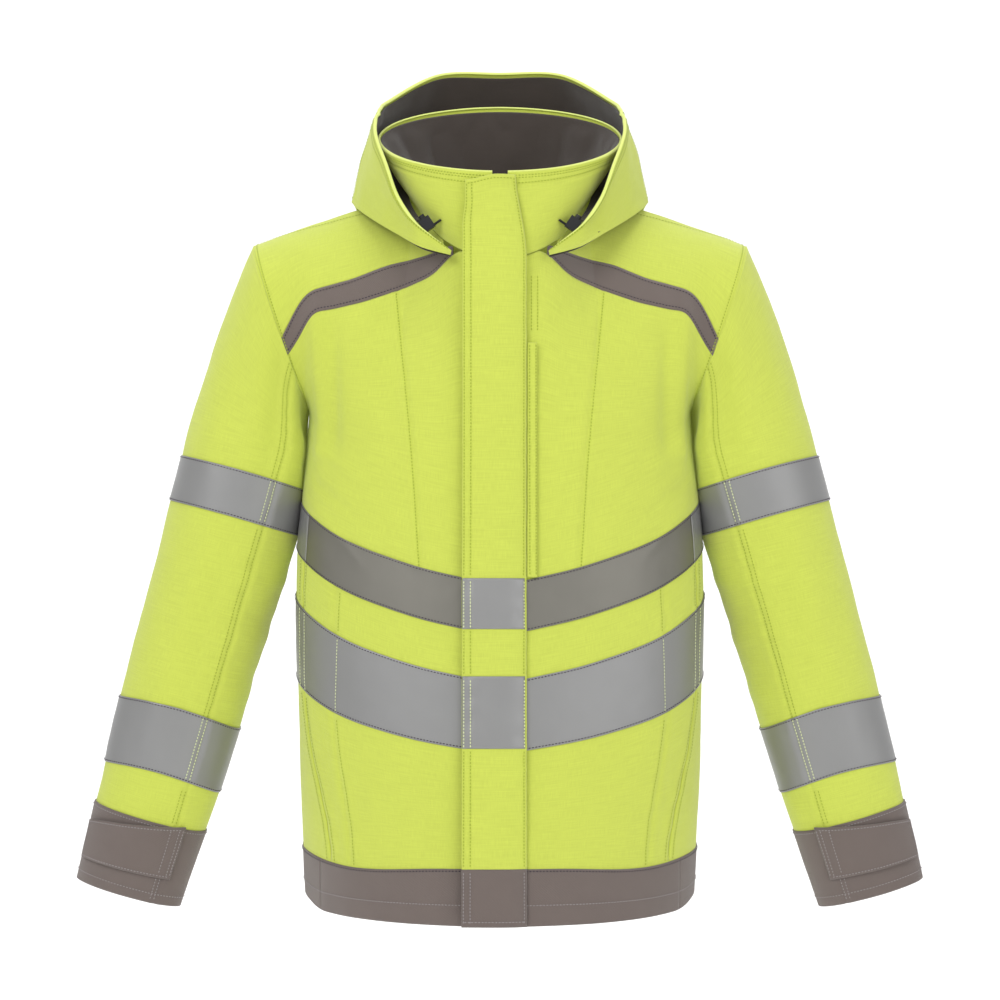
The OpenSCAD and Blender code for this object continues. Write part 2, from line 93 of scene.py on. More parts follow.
def curve(points, t):
    """Catmull-Rom curve through points, t from 0 to 1."""
    p = np.asarray(points, float)
    n = len(p) - 1
    t = np.clip(np.asarray(t, float), 0, 1) * n
    k = np.minimum(np.floor(t).astype(int), n - 1)
    f = (t - k)[..., None]
    a, b, c, d = p[np.maximum(k - 1, 0)], p[k], p[k + 1], p[np.minimum(k + 2, n)]
    return 0.5 * (2 * b + (c - a) * f + (2 * a - 5 * b + 4 * c - d) * f**2 + (3 * b - a - 3 * c + d) * f**3)


def lattice(i, j, k):
    n = (i * 73856093) ^ (j * 19349663) ^ (k * 83492791)
    n = (n ^ (n >> 13)) & 0x7FFFFFFF
    n = (n * 1274126177) & 0x7FFFFFFF
    return ((n ^ (n >> 16)) & 0xFFFF) / 32767.5 - 1.0


def noise(p, size, seed=0):
    """Smooth noise from -1 to 1; size is the distance between its lumps, one number or one per axis."""
    q = p / np.asarray(size, float) + seed * 17.31
    i = np.floor(q).astype(np.int64)
    f = q - i
    f = f * f * (3 - 2 * f)
    out = 0
    for a in (0, 1):
        for b in (0, 1):
            for c in (0, 1):
                w = (f[..., 0] if a else 1 - f[..., 0]) * (f[..., 1] if b else 1 - f[..., 1])
                w = w * (f[..., 2] if c else 1 - f[..., 2])
                out = out + w * lattice(i[..., 0] + a, i[..., 1] + b, i[..., 2] + c)
    return out


# ---------------------------------------------------------------- body of the coat
HEM_Z, FRONT_DEPTH, FRONT_LEAN, BACK_DEPTH = 32.0, 152.0, 0.072, 139.0
ARM_ROW, MID_ROW, FRONT_EDGE = 458.0, 344.0, 7.0
half_width = table([(32, 200), (110, 204), (200, 208), (300, 211), (383, 211.5), (440, 206), (490, 200),
                    (541, 196.1)], 60)
# How far a row climbs from the front edge to the side, and the share of that reached at each angle
rises = table([(32, 3), (86, -3), (145, 28), (203, 70), (273, 82), (319, 83), (369, 82), (458, 82)], 40)
climb = table([(0, -0.09), (8, -0.05), (16, 0), (32, 0.10), (45, 0.24), (55, 0.36), (62, 0.47), (72, 0.69),
               (80, 0.86), (90, 1.0), (105, 1.0), (130, 0.92), (155, 0.83), (180, 0.78)], 9)


def front_y(z):
    return -(FRONT_DEPTH - FRONT_LEAN * (z - HEM_Z))


def low(a, v):
    """Body below the armpits: a is the angle round from the front edge, v the height at the front edge."""
    z = v + rises(v) * climb(a) - 6 * np.exp(-((a - 52) / 20) ** 2 - ((v - 86) / 25) ** 2) \
        + 7 * smooth((a - 64) / 18) * np.exp(-((v - 32) / 22) ** 2)
    hw = half_width(z)
    sn, cs = np.sin(np.radians(a)), np.cos(np.radians(a))
    w = smooth((a - 75) / 30)
    b = mix(-front_y(z), BACK_DEPTH, w)
    q = 2.2
    r = (np.abs(sn / hw) ** q + np.abs(cs / b) ** q) ** (-1 / q)
    return np.stack([r * sn, -r * cs, z], -1)


FRONT_ROW = float(low(0.0, ARM_ROW)[2])
TILT, HOLE_LEN = math.radians(19.5), 178.0
SHOULDER = np.array([255.5, 0.0, 709.0])
HOLE_N = np.array([math.cos(TILT), 0, -math.sin(TILT)])


def armhole(f, side):
    w = HOLE_LEN / 2 * (1 + np.cos(np.radians(f)))
    return np.stack([SHOULDER[0] - w * math.sin(TILT), side * 70 * np.sin(np.radians(f)),
                     SHOULDER[2] - w * math.cos(TILT)], -1)


def neck(a):
    a = np.asarray(a, float)
    c, s = np.cos(np.radians(a)), np.sin(np.radians(a))
    y = -10 - np.where(a < 90, 95, 85) * c
    z = np.where(a < 90, 684 + 80 * (1 - c), 752 + 12 * s**2)
    return np.stack([84 * s, y, z], -1)


def top_edge(s, front):
    s = s[..., None]
    a = 180 * s[..., 0]
    ring = neck(a if front else 180 - a)
    line = mix(neck(90.0), SHOULDER, 2 * s - 1)
    bow = np.sin(np.pi * np.clip(2 * s - 1, 0, 1)) * np.array([0, 0, 3.0])
    return np.where(s < 0.5, ring, line + bow)


BACK_LINE = [low(180.0, ARM_ROW), (0, 139, 590), (0, 127, 660), (0, 105, 715), neck(180.0)]


def upper(s, t, front):
    """Body above the armpits: s from the middle to the armhole, t from the armpit row to the top."""
    s, t = np.broadcast_arrays(np.asarray(s, float), np.asarray(t, float))
    sc, tc = s[..., None], t[..., None]
    a0 = 90 * s if front else 180 - 90 * s
    lo, hi = low(a0, ARM_ROW), top_edge(s, front)
    if front:
        z = mix(FRONT_ROW, 684, t)
        inn = np.stack([z * 0, front_y(z), z], -1)
        corner = neck(0.0)
        low_in = low(0.0, ARM_ROW)
    else:
        inn, corner, low_in = curve(BACK_LINE, t), neck(180.0), low(180.0, ARM_ROW)
    out = armhole(180 * t, -1 if front else 1)
    arm0 = armhole(0.0, 1)
    lo_out = low(90.0, ARM_ROW)
    out = out + (lo_out - arm0) * (1 - tc)
    k = sc * np.sqrt(np.abs(sc))
    p = mix(lo, hi, tc) + (1 - k) * (inn - mix(low_in, corner, tc)) + k * (out - mix(lo_out, SHOULDER, tc))
    slope = (low(a0, ARM_ROW + 1) - low(a0, ARM_ROW - 1)) / 2
    rise = (hi - lo)[..., 2:3]
    e = 0.02
    coons = (hi - lo) + (1 - k) * ((inn_at(e, front) - low_in) / e - (corner - low_in)) \
        + k * ((out_at(e, front) - lo_out) / e - (SHOULDER - lo_out))
    bend = (slope * rise - coons) * (1 - sc**6) * np.clip(sc * 6, 0, 1)
    return p + bend * tc * (1 - tc) ** 2 * 0.9


def inn_at(t, front):
    if front:
        z = mix(FRONT_ROW, 684, t)
        return np.array([0.0, front_y(z), z])
    return curve(BACK_LINE, t)


def out_at(t, front):
    return armhole(180 * t, -1 if front else 1) + (low(90.0, ARM_ROW) - armhole(0.0, 1)) * (1 - t)


# ---------------------------------------------------------------- sleeves
ARM_TILT, ARM_END, ELBOW, CUFF = math.radians(15.67), 609.0, 305.0, 527.0
ARM_C = np.array([221.0, 0, 625.0])
ARM_D = np.array([math.sin(ARM_TILT), 0, -math.cos(ARM_TILT)])
ARM_P = np.array([-math.cos(ARM_TILT), 0, -math.sin(ARM_TILT)])
sleeve_w = table([(0, 70), (130, 69), (215, 68.5), (305, 66), (415, 63.5), (485, 61.5), (527, 58.5),
                  (609, 54.5)], 60)
sleeve_d = table([(0, 70), (130, 66), (305, 60), (415, 50), (485, 44), (527, 38), (609, 29)], 60)


def ring(s, f, lift=0.0):
    s, f = np.broadcast_arrays(np.asarray(s, float), np.asarray(f, float))
    c, sn = np.cos(np.radians(f))[..., None], np.sin(np.radians(f))[..., None]
    bow = 5 * np.sin(np.pi * np.clip(s / ARM_END, 0, 1))[..., None] * np.array([0, 1.0, 0])
    p = ARM_C + ARM_D * s[..., None] + ARM_P * (sleeve_w(s) + lift)[..., None] * c \
        + np.array([0, -1.0, 0]) * (sleeve_d(s) + lift)[..., None] * sn + bow
    # the inner side is pressed flat where it lies along the body
    over = half_width(p[..., 2]) + 1.6 - p[..., 0]
    push = np.logaddexp(0, over / 1.5) * 1.5 * smooth((340 - s) / 60)
    return p + push[..., None] * np.array([1.0, 0, 0])


CAP_END = 130.0


def sleeve(s, f):
    """Sleeve at s along the arm and f round it: 0 is the inner side, 90 the front, 180 the outer side."""
    s, f = np.broadcast_arrays(np.asarray(s, float), np.asarray(f, float) % 360)
    side = np.where(f <= 180, -1.0, 1.0)
    g = np.where(f <= 180, f, 360 - f)
    top = armhole(g, 1)
    top = top * np.stack([np.ones_like(g), side, np.ones_like(g)], -1) + HOLE_N * 0.4
    base = ring(CAP_END, f)
    t = np.clip(1 - s / CAP_END, 0, 1)[..., None]
    reach = np.linalg.norm(top - base, axis=-1, keepdims=True)
    out = np.clip(-np.cos(np.radians(f)), 0, 1)[..., None]
    m0 = -ARM_D * reach
    m1 = (top - base) + (np.array([-1.0, 0, 0.1]) * out ** 2 * 0.12 + HOLE_N * -0.25 * (1 - out)) * reach
    h = (2 * t**3 - 3 * t**2 + 1) * base + (t**3 - 2 * t**2 + t) * m0 \
        + (-2 * t**3 + 3 * t**2) * top + (t**3 - t**2) * m1
    return np.where(s[..., None] < CAP_END, h, ring(s, f))


# ---------------------------------------------------------------- collar and hood
def rim(a):
    c, s = np.cos(np.radians(a)), np.sin(np.radians(a))
    return np.stack([127 * s, -10 - np.where(a < 90, 89, 88) * c, 771 + 95 * (1 - c) / 2], -1)


def collar(a, t):
    a, t = np.broadcast_arrays(np.asarray(a, float), np.asarray(t, float))
    side = np.where(a > 180, -1.0, 1.0)
    h = np.where(a > 180, 360 - a, a)
    sn, cs, tc = np.sin(np.radians(h))[..., None], np.cos(np.radians(h))[..., None], t[..., None]
    p = mix(neck(h) + np.array([0, 0, 1.0]), rim(h), tc)
    p = p + 5 * np.sin(np.pi * tc) * sn * np.concatenate([sn, -cs, 0 * sn], -1)
    return p * np.stack([side, np.ones_like(side), np.ones_like(side)], -1)


HOOD_EDGE = [(48, -106, 692), (84, -95, 720), (103, -80, 747), (116, -70, 782), (129, -42, 821),
             (127, 4, 851), (119, 50, 870), (68, 101, 907), (0, 112, 911)]
HOOD_FOLD = [(49, -109, 688), (80, -102, 697), (104, -80, 712), (128, -50, 729), (148, -16, 746),
             (155, 32, 758), (140, 105, 735), (90, 168, 695), (0, 190, 668)]


def ends(points):
    """The half list carried past the middle, so that the curve is smooth there."""
    return list(points) + [(-points[-2][0], points[-2][1], points[-2][2])]


def hood(a, t):
    """Lowered hood: a runs from the left front end round the back to the right, t from fold to face edge."""
    a, t = np.broadcast_arrays(np.asarray(a, float), np.asarray(t, float))
    side = np.where(a > 0.5, -1.0, 1.0)
    h = np.where(a > 0.5, 2 - 2 * a, 2 * a)
    k = 8 / 9
    lo, hi = curve(ends(HOOD_FOLD), h * k), curve(ends(HOOD_EDGE), h * k)
    m = mix(lo, hi, 0.5)
    out = unit(np.stack([m[..., 0], m[..., 1] + 20, 0 * h], -1))
    c = m + out * (mix(-5, 46, h**4) * np.clip(h * 5, 0, 1))[..., None]
    tc = t[..., None]
    p = lo * (1 - tc) ** 2 + 2 * tc * (1 - tc) * c + hi * tc**2
    return p * np.stack([side, np.ones_like(side), np.ones_like(side)], -1)


def neck_band(a, t):
    """Inner layer of the hood, from the neck seam, t = 0, to the fold, t = 1."""
    a, t = np.broadcast_arrays(np.asarray(a, float), np.asarray(t, float))
    side = np.where(a > 0.5, -1.0, 1.0)
    h = np.where(a > 0.5, 2 - 2 * a, 2 * a)
    lo = neck(20 + 160 * h) * np.array([1.13, 1.13, 1.0]) + np.array([0, 0, 6.0])
    hi = curve(ends(HOOD_FOLD), h * 8 / 9)
    sag = np.sin(np.pi * t)[..., None] * np.array([0, 0, 3.0])
    return (mix(lo, hi, t[..., None]) + sag) * np.stack([side, np.ones_like(side), np.ones_like(side)], -1)


# ---------------------------------------------------------------- folds and seams
def groove(d, depth=0.9, width=1.5, puff=0.55, reach=7.0):
    """Dip along a seam with the cloth swelling a little on both sides; d is the distance from it."""
    return -depth * np.exp(-(d / width) ** 2) + puff * np.exp(-((np.abs(d) - reach) / 4.5) ** 2)


def pucker(d, along, seed):
    """Small ripples across a row of stitches; along is the distance down the row."""
    wave = np.sin(along / 5.2 + 2.5 * np.sin(along / 23.0 + seed))
    return 0.42 * np.exp(-(np.abs(d) / 7.0) ** 1.5) * wave


PRINCESS = table([(360, 76), (378, 77.5), (474, 84), (519, 88), (571, 93), (604, 97), (660, 103)], 30)


def body_folds(p, seed=None):
    """Height of the cloth over its smooth shape, for the body of the coat; each side has its own seed."""
    if seed is None:
        return np.where(p[..., 0] > 0, body_folds(p, 1.0), body_folds(p, 2.0))
    p = p * np.where(p[..., :1] < 0, -1.0, 1.0) ** np.array([1, 0, 0])
    x, y, z = p[..., 0], p[..., 1], p[..., 2]

    def lumps(k):
        return 1.5 * noise(p, (90, 90, 170), k) + 0.75 * noise(p, (34, 34, 60), k + 3) \
            + 0.2 * noise(p, 13, k + 5)

    h = mix(lumps(9.0), lumps(seed), smooth(x / 60))
    front = smooth((-y - 20) / 40)
    # soft vertical fold inside each armhole, and drag lines from the armpit
    d = x - (187 - 3 * np.sin((z - 450) / 60))
    h = h + front * 4.2 * np.exp(-(d / 9.5) ** 2) * smooth((z - 455) / 60) * smooth((670 - z) / 60)
    h = h - front * 3.6 * np.exp(-((x - 168) / 8) ** 2) * smooth((z - 470) / 50) * smooth((640 - z) / 60)
    for k, (z0, slope, amp) in enumerate([(500, 0.55, 1.6), (470, 0.8, 1.2), (446, 1.1, 1.0)]):
        line = z - (z0 - slope * (196 - x))
        h = h + amp * np.exp(-(line / 7) ** 2) * smooth((x - 120) / 50) * np.sign(0.5 - (k % 2))
    # the side lies close to the sleeve
    h = mix(h, 1.0, smooth((x - 184) / 8) * smooth((z - 430) / 40) * smooth((575 - z) / 20))
    # princess seam down the chest
    d = x - PRINCESS(z)
    chest = front * smooth((z - 374) / 6) * smooth((662 - z) / 10)
    h = h + chest * (groove(d, 0.8, 1.3, 0.5, 6) + pucker(d, z, seed))
    return h


def side_seam(v):
    """Angle of the seam between the front and side panels, which leans forward towards the hem."""
    return 62 + 14.5 * smooth((v - 86) / 130)


def dart_seam(v):
    return 54 + 8 * smooth((v - 86) / 130)


def side_seams(a, v, seed):
    """Two seams down each side below the chest tape."""
    h = 0
    for k, (angle, depth) in enumerate(((dart_seam(v), 0.6), (side_seam(v), 0.9))):
        d = (a - angle) * 2.9
        h = h + groove(d, depth, 1.3, 0.5, 6) + pucker(d, v, seed + 12 * k)
    return h


def arm_folds(s, f, p, seed):
    """Height of the cloth over the smooth sleeve."""
    h = 1.2 * noise(p, (60, 60, 120), seed) + 0.65 * noise(p, (28, 28, 45), seed + 2) \
        + 0.18 * noise(p, 12, seed + 4)
    inner = np.clip(np.cos(np.radians(f - 25)), 0, 1) ** 1.5
    for s0, amp, tilt in ((262, 1.3, 10), (296, -1.0, -8), (322, 1.2, 6), (352, -0.8, -10), (384, 0.7, 8)):
        d = s - s0 - tilt * np.sin(np.radians(f * 1.0 - 40))
        h = h + amp * inner * np.exp(-(d / 10) ** 2)
    pull = np.clip(np.cos(np.radians(f - 55)), 0, 1) ** 4 * smooth((s + 5) / 30) * smooth((180 - s) / 70)
    h = h + 2.4 * pull * np.sin((f - 35) / 7.5)
    long = np.exp(-((f - 96 - 0.03 * s) / 9) ** 2) - np.exp(-((f - 76 - 0.02 * s) / 8) ** 2)
    h = h + 1.2 * long * smooth((s - 190) / 60) * smooth((520 - s) / 80)
    hug = np.clip(np.cos(np.radians(f)), 0, 1) ** 6 * smooth((s - 60) / 30) * smooth((240 - s) / 70)
    h = mix(h, 2.4, hug)
    for angle in (SEAM_F, 360 - SEAM_F):
        d = (f - angle) * 1.12
        h = h + groove(d, 0.9, 1.3, 0.5, 6) + pucker(d, s, seed + angle)
    return h


SEAM_F = 56.5


# ---------------------------------------------------------------- materials
def material(name, base, rough=0.85, sheen=0.0, metal=0.0, weave=0.0, pitch=1.1, slub=0.0, grain=0.0,
             painted_glow=0.0, twill=False, mottle=0.05):
    """Procedural cloth or plastic. pitch is the spacing of the threads in millimetres."""
    m = bpy.data.materials.new(name)
    m.use_nodes = True
    nt = m.node_tree
    nodes, links = nt.nodes, nt.links
    bsdf = nodes["Principled BSDF"]
    bsdf.inputs["Roughness"].default_value = rough
    bsdf.inputs["Metallic"].default_value = metal
    bsdf.inputs["Sheen Weight"].default_value = sheen
    bsdf.inputs["Sheen Roughness"].default_value = 0.5
    bsdf.inputs["Specular IOR Level"].default_value = 0.25
    coords = nodes.new("ShaderNodeUVMap")
    coords.uv_map = "UVMap"

    def noise_node(scale, stretch=(1, 1, 1), detail=2.0):
        mp = nodes.new("ShaderNodeMapping")
        mp.inputs["Scale"].default_value = stretch
        links.new(coords.outputs["UV"], mp.inputs["Vector"])
        n = nodes.new("ShaderNodeTexNoise")
        n.inputs["Scale"].default_value = scale
        n.inputs["Detail"].default_value = detail
        links.new(mp.outputs["Vector"], n.inputs["Vector"])
        return n.outputs["Fac"]

    def math_node(op, a, b=0.5):
        n = nodes.new("ShaderNodeMath")
        n.operation = op
        for i, v in enumerate((a, b)):
            if isinstance(v, (int, float)):
                n.inputs[i].default_value = v
            else:
                links.new(v, n.inputs[i])
        return n.outputs[0]

    def mix_colour(fac, a, b):
        n = nodes.new("ShaderNodeMix")
        n.data_type = "RGBA"
        links.new(fac, n.inputs[0])
        for i, v in ((6, a), (7, b)):
            if isinstance(v, tuple):
                n.inputs[i].default_value = (*v, 1)
            else:
                links.new(v, n.inputs[i])
        return n.outputs[2]

    low_c = tuple(c * (1 - mottle * 1.6) for c in base)
    high_c = tuple(min(1.0, c * (1 + mottle * 0.8)) for c in base)
    colour = mix_colour(noise_node(26.0, detail=5.0), low_c, high_c)
    height = None
    if slub:
        lines = noise_node(1.0, (35, 1000, 1), 1.0)
        cross_lines = noise_node(1.0, (1700, 90, 1), 1.0)
        both = math_node("MULTIPLY", math_node("ADD", lines, cross_lines), 0.5)
        sharp = math_node("MULTIPLY", math_node("SUBTRACT", both, 0.5), 3.0)
        fac = math_node("ADD", sharp, 0.5)
        colour = mix_colour(fac, tuple(c * (1 - slub) for c in base), colour)
        height = math_node("MULTIPLY", both, 0.6)
    if weave:
        sep = nodes.new("ShaderNodeSeparateXYZ")
        links.new(coords.outputs["UV"], sep.inputs[0])
        k = 2 * math.pi / (pitch * MM)
        if twill:
            su = math_node("SINE", math_node("MULTIPLY", math_node("ADD", sep.outputs[0], sep.outputs[1]), k))
            sv = math_node("SINE", math_node("MULTIPLY", sep.outputs[1], k * 2.0))
            threads = math_node("ADD", su, math_node("MULTIPLY", sv, 0.3))
        else:
            su = math_node("SINE", math_node("MULTIPLY", sep.outputs[0], k))
            sv = math_node("SINE", math_node("MULTIPLY", sep.outputs[1], k))
            threads = math_node("MULTIPLY", su, sv)
        part = math_node("MULTIPLY", threads, weave)
        height = part if height is None else math_node("ADD", height, part)
    if grain:
        beads = noise_node(1900.0, detail=3.0)
        part = math_node("MULTIPLY", beads, grain)
        height = part if height is None else math_node("ADD", height, part)
        colour = mix_colour(beads, tuple(c * 0.82 for c in base), colour)
    if height is not None:
        bump = nodes.new("ShaderNodeBump")
        bump.inputs["Strength"].default_value = 0.55
        bump.inputs["Distance"].default_value = 0.0006
        links.new(height, bump.inputs["Height"])
        links.new(bump.outputs["Normal"], bsdf.inputs["Normal"])
    links.new(colour, bsdf.inputs["Base Color"])
    # painted light: emission in the cloth's own colour makes the cloth glow and lifts its shaded parts
    if painted_glow:
        links.new(colour, bsdf.inputs["Emission Color"])
        bsdf.inputs["Emission Strength"].default_value = painted_glow
    return m


YELLOW = (0.565, 0.645, 0.092)
MAT = {
    "hi_vis_cloth": material("hi_vis_cloth", YELLOW, 0.82, sheen=0.25, weave=0.35, slub=0.13, painted_glow=0.06,
                             mottle=0.03),
    # painted highlight: a lighter copy of the hi-vis cloth for the rolled rims of the collar and hood
    "hi_vis_highlight": material("hi_vis_highlight", (0.68, 0.76, 0.20), 0.8, sheen=0.2, weave=0.2, painted_glow=0.05),
    "grey_cloth": material("grey_cloth", (0.165, 0.132, 0.118), 0.88, sheen=0.3, weave=0.7, pitch=1.5,
                           twill=True),
    "reflective_tape": material("reflective_tape", (0.305, 0.305, 0.303), 0.42, metal=0.45, grain=0.5,
                                mottle=0.06),
    # painted shade: a darker copy of the reflective tape for the front chest tape, which is the same tape as
    # the waist tape
    "chest_tape": material("chest_tape", (0.212, 0.204, 0.178), 0.40, metal=0.5, grain=0.5, mottle=0.10),
    "lining_cloth": material("lining_cloth", (0.060, 0.047, 0.040), 0.92, sheen=0.3, weave=0.5, pitch=0.9,
                             slub=0.08),
    "black_tape": material("black_tape", (0.018, 0.018, 0.02), 0.75, weave=0.8, pitch=1.2, twill=True),
    "zip_plastic": material("zip_plastic", (0.02, 0.02, 0.022), 0.35, mottle=0.02),
    "zip_metal": material("zip_metal", (0.42, 0.42, 0.41), 0.3, metal=1.0, grain=0.1),
    "elastic": material("elastic", (0.02, 0.02, 0.02), 0.6, weave=0.6, pitch=1.4, twill=True),
    "lock_plastic": material("lock_plastic", (0.02, 0.02, 0.022), 0.4, mottle=0.02),
    "thread_yellow": material("thread_yellow", (0.36, 0.44, 0.03), 0.6, sheen=0.3, mottle=0.1),
    "thread_grey": material("thread_grey", (0.30, 0.27, 0.27), 0.6, sheen=0.3, mottle=0.1),
    "thread_plum": material("thread_plum", (0.035, 0.022, 0.04), 0.6, sheen=0.3, mottle=0.1),
    "thread_pale": material("thread_pale", (0.74, 0.80, 0.42), 0.6, sheen=0.3, mottle=0.1),
}


# ---------------------------------------------------------------- building pieces
def mesh_object(name, verts, faces, mat, uv):
    me = bpy.data.meshes.new(name)
    me.vertices.add(len(verts))
    me.vertices.foreach_set("co", to_row(verts).astype(np.float32).ravel())
    faces = np.asarray(faces, np.int32)
    n, k = faces.shape
    me.loops.add(n * k)
    me.polygons.add(n)
    me.polygons.foreach_set("loop_start", np.arange(0, n * k, k, dtype=np.int32))
    me.loops.foreach_set("vertex_index", faces.ravel())
    me.update(calc_edges=True)
    layer = me.uv_layers.new(name="UVMap")
    layer.data.foreach_set("uv", np.asarray(uv, np.float32)[faces.ravel()].ravel())
    me.validate()
    me.polygons.foreach_set("use_smooth", np.ones(n, bool))
    ob = bpy.data.objects.new(name, me)
    bpy.context.scene.collection.objects.link(ob)
    me.materials.append(MAT[mat])
    return ob


def grid_faces(nu, nv):
    i = np.arange(nu - 1)[:, None]
    j = np.arange(nv - 1)[None, :]
    a = i * nv + j
    b = (i + 1) * nv + j
    return np.stack([a, b, b + 1, a + 1], -1).reshape(-1, 4)


def normals(fn, u, v, nudge):
    """Unit normals of the surface fn(u, v), from points a nudge to each side."""
    across = fn(u + nudge[0], v) - fn(u - nudge[0], v)
    up = fn(u, v + nudge[1]) - fn(u, v - nudge[1])
    return unit(np.cross(across, up))


def lay(fn, us, vs, height, nudge=(0.3, 0.6)):
    """Points of the surface fn(u, v) on a grid, raised by height(u, v, points)."""
    u, v = np.meshgrid(us, vs, indexing="ij")
    p = fn(u, v)
    h = height(u, v, p)
    return p + normals(fn, u, v, nudge) * np.broadcast_to(h, u.shape)[..., None]


def real_uv(p):
    """Cloth coordinates in metres, measured along the grid so that threads keep their real size."""
    du = np.linalg.norm(np.diff(p, axis=0), axis=-1).mean(axis=1)
    dv = np.linalg.norm(np.diff(p, axis=1), axis=-1).mean(axis=0)
    u = np.concatenate([[0], np.cumsum(du)])
    v = np.concatenate([[0], np.cumsum(dv)])
    return np.stack(np.meshgrid(u * MM, v * MM, indexing="ij"), -1).reshape(-1, 2), u[-1] * MM, v[-1] * MM


class Piece:
    def __init__(self, name, p, mat, slot=None, side=1.0, thick=1.2):
        p = p if side > 0 else flip(p, side)[::-1]
        uv, self.w, self.l = real_uv(p)
        nu, nv = p.shape[:2]
        self.ob = mesh_object(name, p.reshape(-1, 3), grid_faces(nu, nv), mat, uv)
        if thick:
            m = self.ob.modifiers.new("cloth", "SOLIDIFY")
            m.thickness = thick * MM
            m.offset = -1.0
            m.use_even_offset = False


def rest_points(ob):
    co = np.empty(len(ob.data.vertices) * 3)
    ob.data.vertices.foreach_get("co", co)
    return co.reshape(-1, 3) / MM + ORIGIN


def weigh(ob, weights):
    """Bakes the transform of ob into its points; weights is not used."""
    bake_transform(ob)


LOOP = np.concatenate([armhole(np.linspace(0, 180, 40), -1), armhole(np.linspace(0, 180, 40), 1)])


def armhole_places(p):
    """Distances from the armhole: to its line, past its plane, and along the sleeve."""
    q = p * np.array([np.sign(p[:, 0].mean()) or 1.0, 1, 1])
    d = np.full(len(q), 1e9)
    for c in LOOP:
        d = np.minimum(d, np.linalg.norm(q - c, axis=1))
    return d, (q - armhole(0.0, 1)) @ HOLE_N, (q - ARM_C) @ ARM_D


def follow_body(ob):
    d, _, _ = armhole_places(rest_points(ob))
    weigh(ob, 0.5 * (1 - smooth(d / 75)))


def follow_cap(ob, side):
    _, plane, s = armhole_places(rest_points(ob))
    weigh(ob, 0.5 + 0.5 * smooth(np.maximum(plane, 0) / 55))


def follow_elbow(ob, side):
    _, _, s = armhole_places(rest_points(ob))
    weigh(ob, smooth((s - (ELBOW - 72)) / 144))


def follow_flap(ob):
    """Cloth of the flap, with its transform baked into its points."""
    weigh(ob, 1 - smooth((rest_points(ob)[:, 0] - 14) / 9))


def fasten(piece, body, *nodes):
    """A piece of cloth that rides on one body and stands for the given CAD nodes."""
    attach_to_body(piece.ob, body)
    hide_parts(*nodes)


# ---------------------------------------------------------------- stitches
def stitch_mesh(name, rows, mat, side=1.0, size=(2.4, 0.5), pitch=3.3):
    """Rows of separate stitches. Each row is (points, normals) along a line on the cloth."""
    verts, faces = [], []
    for pts, nrm in rows:
        seg = np.linalg.norm(np.diff(pts, axis=0), axis=1)
        at = np.concatenate([[0], np.cumsum(seg)])
        mids = np.arange(pitch * 0.6, at[-1] - pitch * 0.4, pitch)
        if not len(mids):
            continue
        along = lambda places, values: np.stack([np.interp(places, at, values[:, k]) for k in range(3)], -1)
        c = along(mids, pts)
        d = unit(along(mids + 1.0, pts) - along(mids - 1.0, pts))
        n = unit(along(mids, nrm))
        b = np.cross(d, n)
        half, r = size[0] / 2, size[1]
        base = sum(len(v) for v in verts)
        sunk, rib, back_end, front_end = -n * 0.15, n * (r + 0.15), c - d * half * 0.5, c + d * half * 0.5
        low_rib = n * 0.1
        ring_pts = [c - d * half + sunk, back_end + b * r + low_rib, back_end + rib,
                    back_end - b * r + low_rib, front_end + b * r + low_rib,
                    front_end + rib, front_end - b * r + low_rib, c + d * half + sunk]
        verts.append(np.stack(ring_pts, 1).reshape(-1, 3))
        quads = np.array([[0, 1, 2, 2], [0, 2, 3, 3], [1, 4, 5, 2], [2, 5, 6, 3], [4, 7, 5, 5], [5, 7, 6, 6]])
        k = np.arange(len(mids))[:, None, None] * 8 + base
        faces.append((quads[None] + k).reshape(-1, 4))
    v, f = np.concatenate(verts), np.concatenate(faces)
    v = flip(v, side)
    tri = np.concatenate([f[:, [0, 1, 2]], f[f[:, 2] != f[:, 3]][:, [0, 2, 3]]])
    if side < 0:
        tri = tri[:, ::-1]
    return mesh_object(name, v, tri, mat, v[:, :2] * MM)


def sew(name, rows, mat, side=1.0):
    """Rows of stitches in the given material."""
    ob = stitch_mesh(name, rows, mat, side)
    return ob


def row_on(fn, height, us, vs, lift=0.25, nudge=(0.3, 0.6)):
    """A line of points along us, vs on the raised surface fn."""
    us, vs = np.broadcast_arrays(np.asarray(us, float), np.asarray(vs, float))
    p = fn(us, vs)
    n = normals(fn, us, vs, nudge)
    return p + n * (height(us, vs, p) + lift)[..., None], n


# ---------------------------------------------------------------- the coat
STEP = 2.0
# Steps over which normals are taken: on patches run by fractions, on a sleeve, whose angle runs
# backwards, on the hood and on the collar
FINE, ARM, HOOD, RIM = (0.004, 0.01), (-0.3, 0.6), (0.003, 0.01), (0.5, 0.01)


def count(length):
    return max(int(round(length / STEP)), 3)


def spaced(a, b, length):
    return np.linspace(a, b, count(length))


def edge_row(places):
    """Row of the chest, by column, that follows an edge given by [across, height] places."""
    z_of = table(places, 9)
    s = np.linspace(0.1, 1, 91)
    lo, hi = np.zeros_like(s), np.ones_like(s)
    for _ in range(30):
        t = (lo + hi) / 2
        p = upper(s, t, True)
        above = p[:, 2] > z_of(p[:, 0])
        lo, hi = np.where(above, lo, t), np.where(above, t, hi)
    return lambda q: np.interp(q, s, lo)


S0 = 2.7 / 90
STRIP_S = 0.19
strip_lo = edge_row([(30, 696), (50, 690), (60, 677), (70, 669), (102, 656), (140, 643), (172, 636),
                     (186, 635), (193, 627), (201, 612), (211, 596), (225, 574)])
strip_hi = edge_row([(30, 706), (68, 693), (114, 683), (148, 668), (178, 660), (190, 657), (199, 650),
                     (206, 639), (216, 617), (228, 590)])


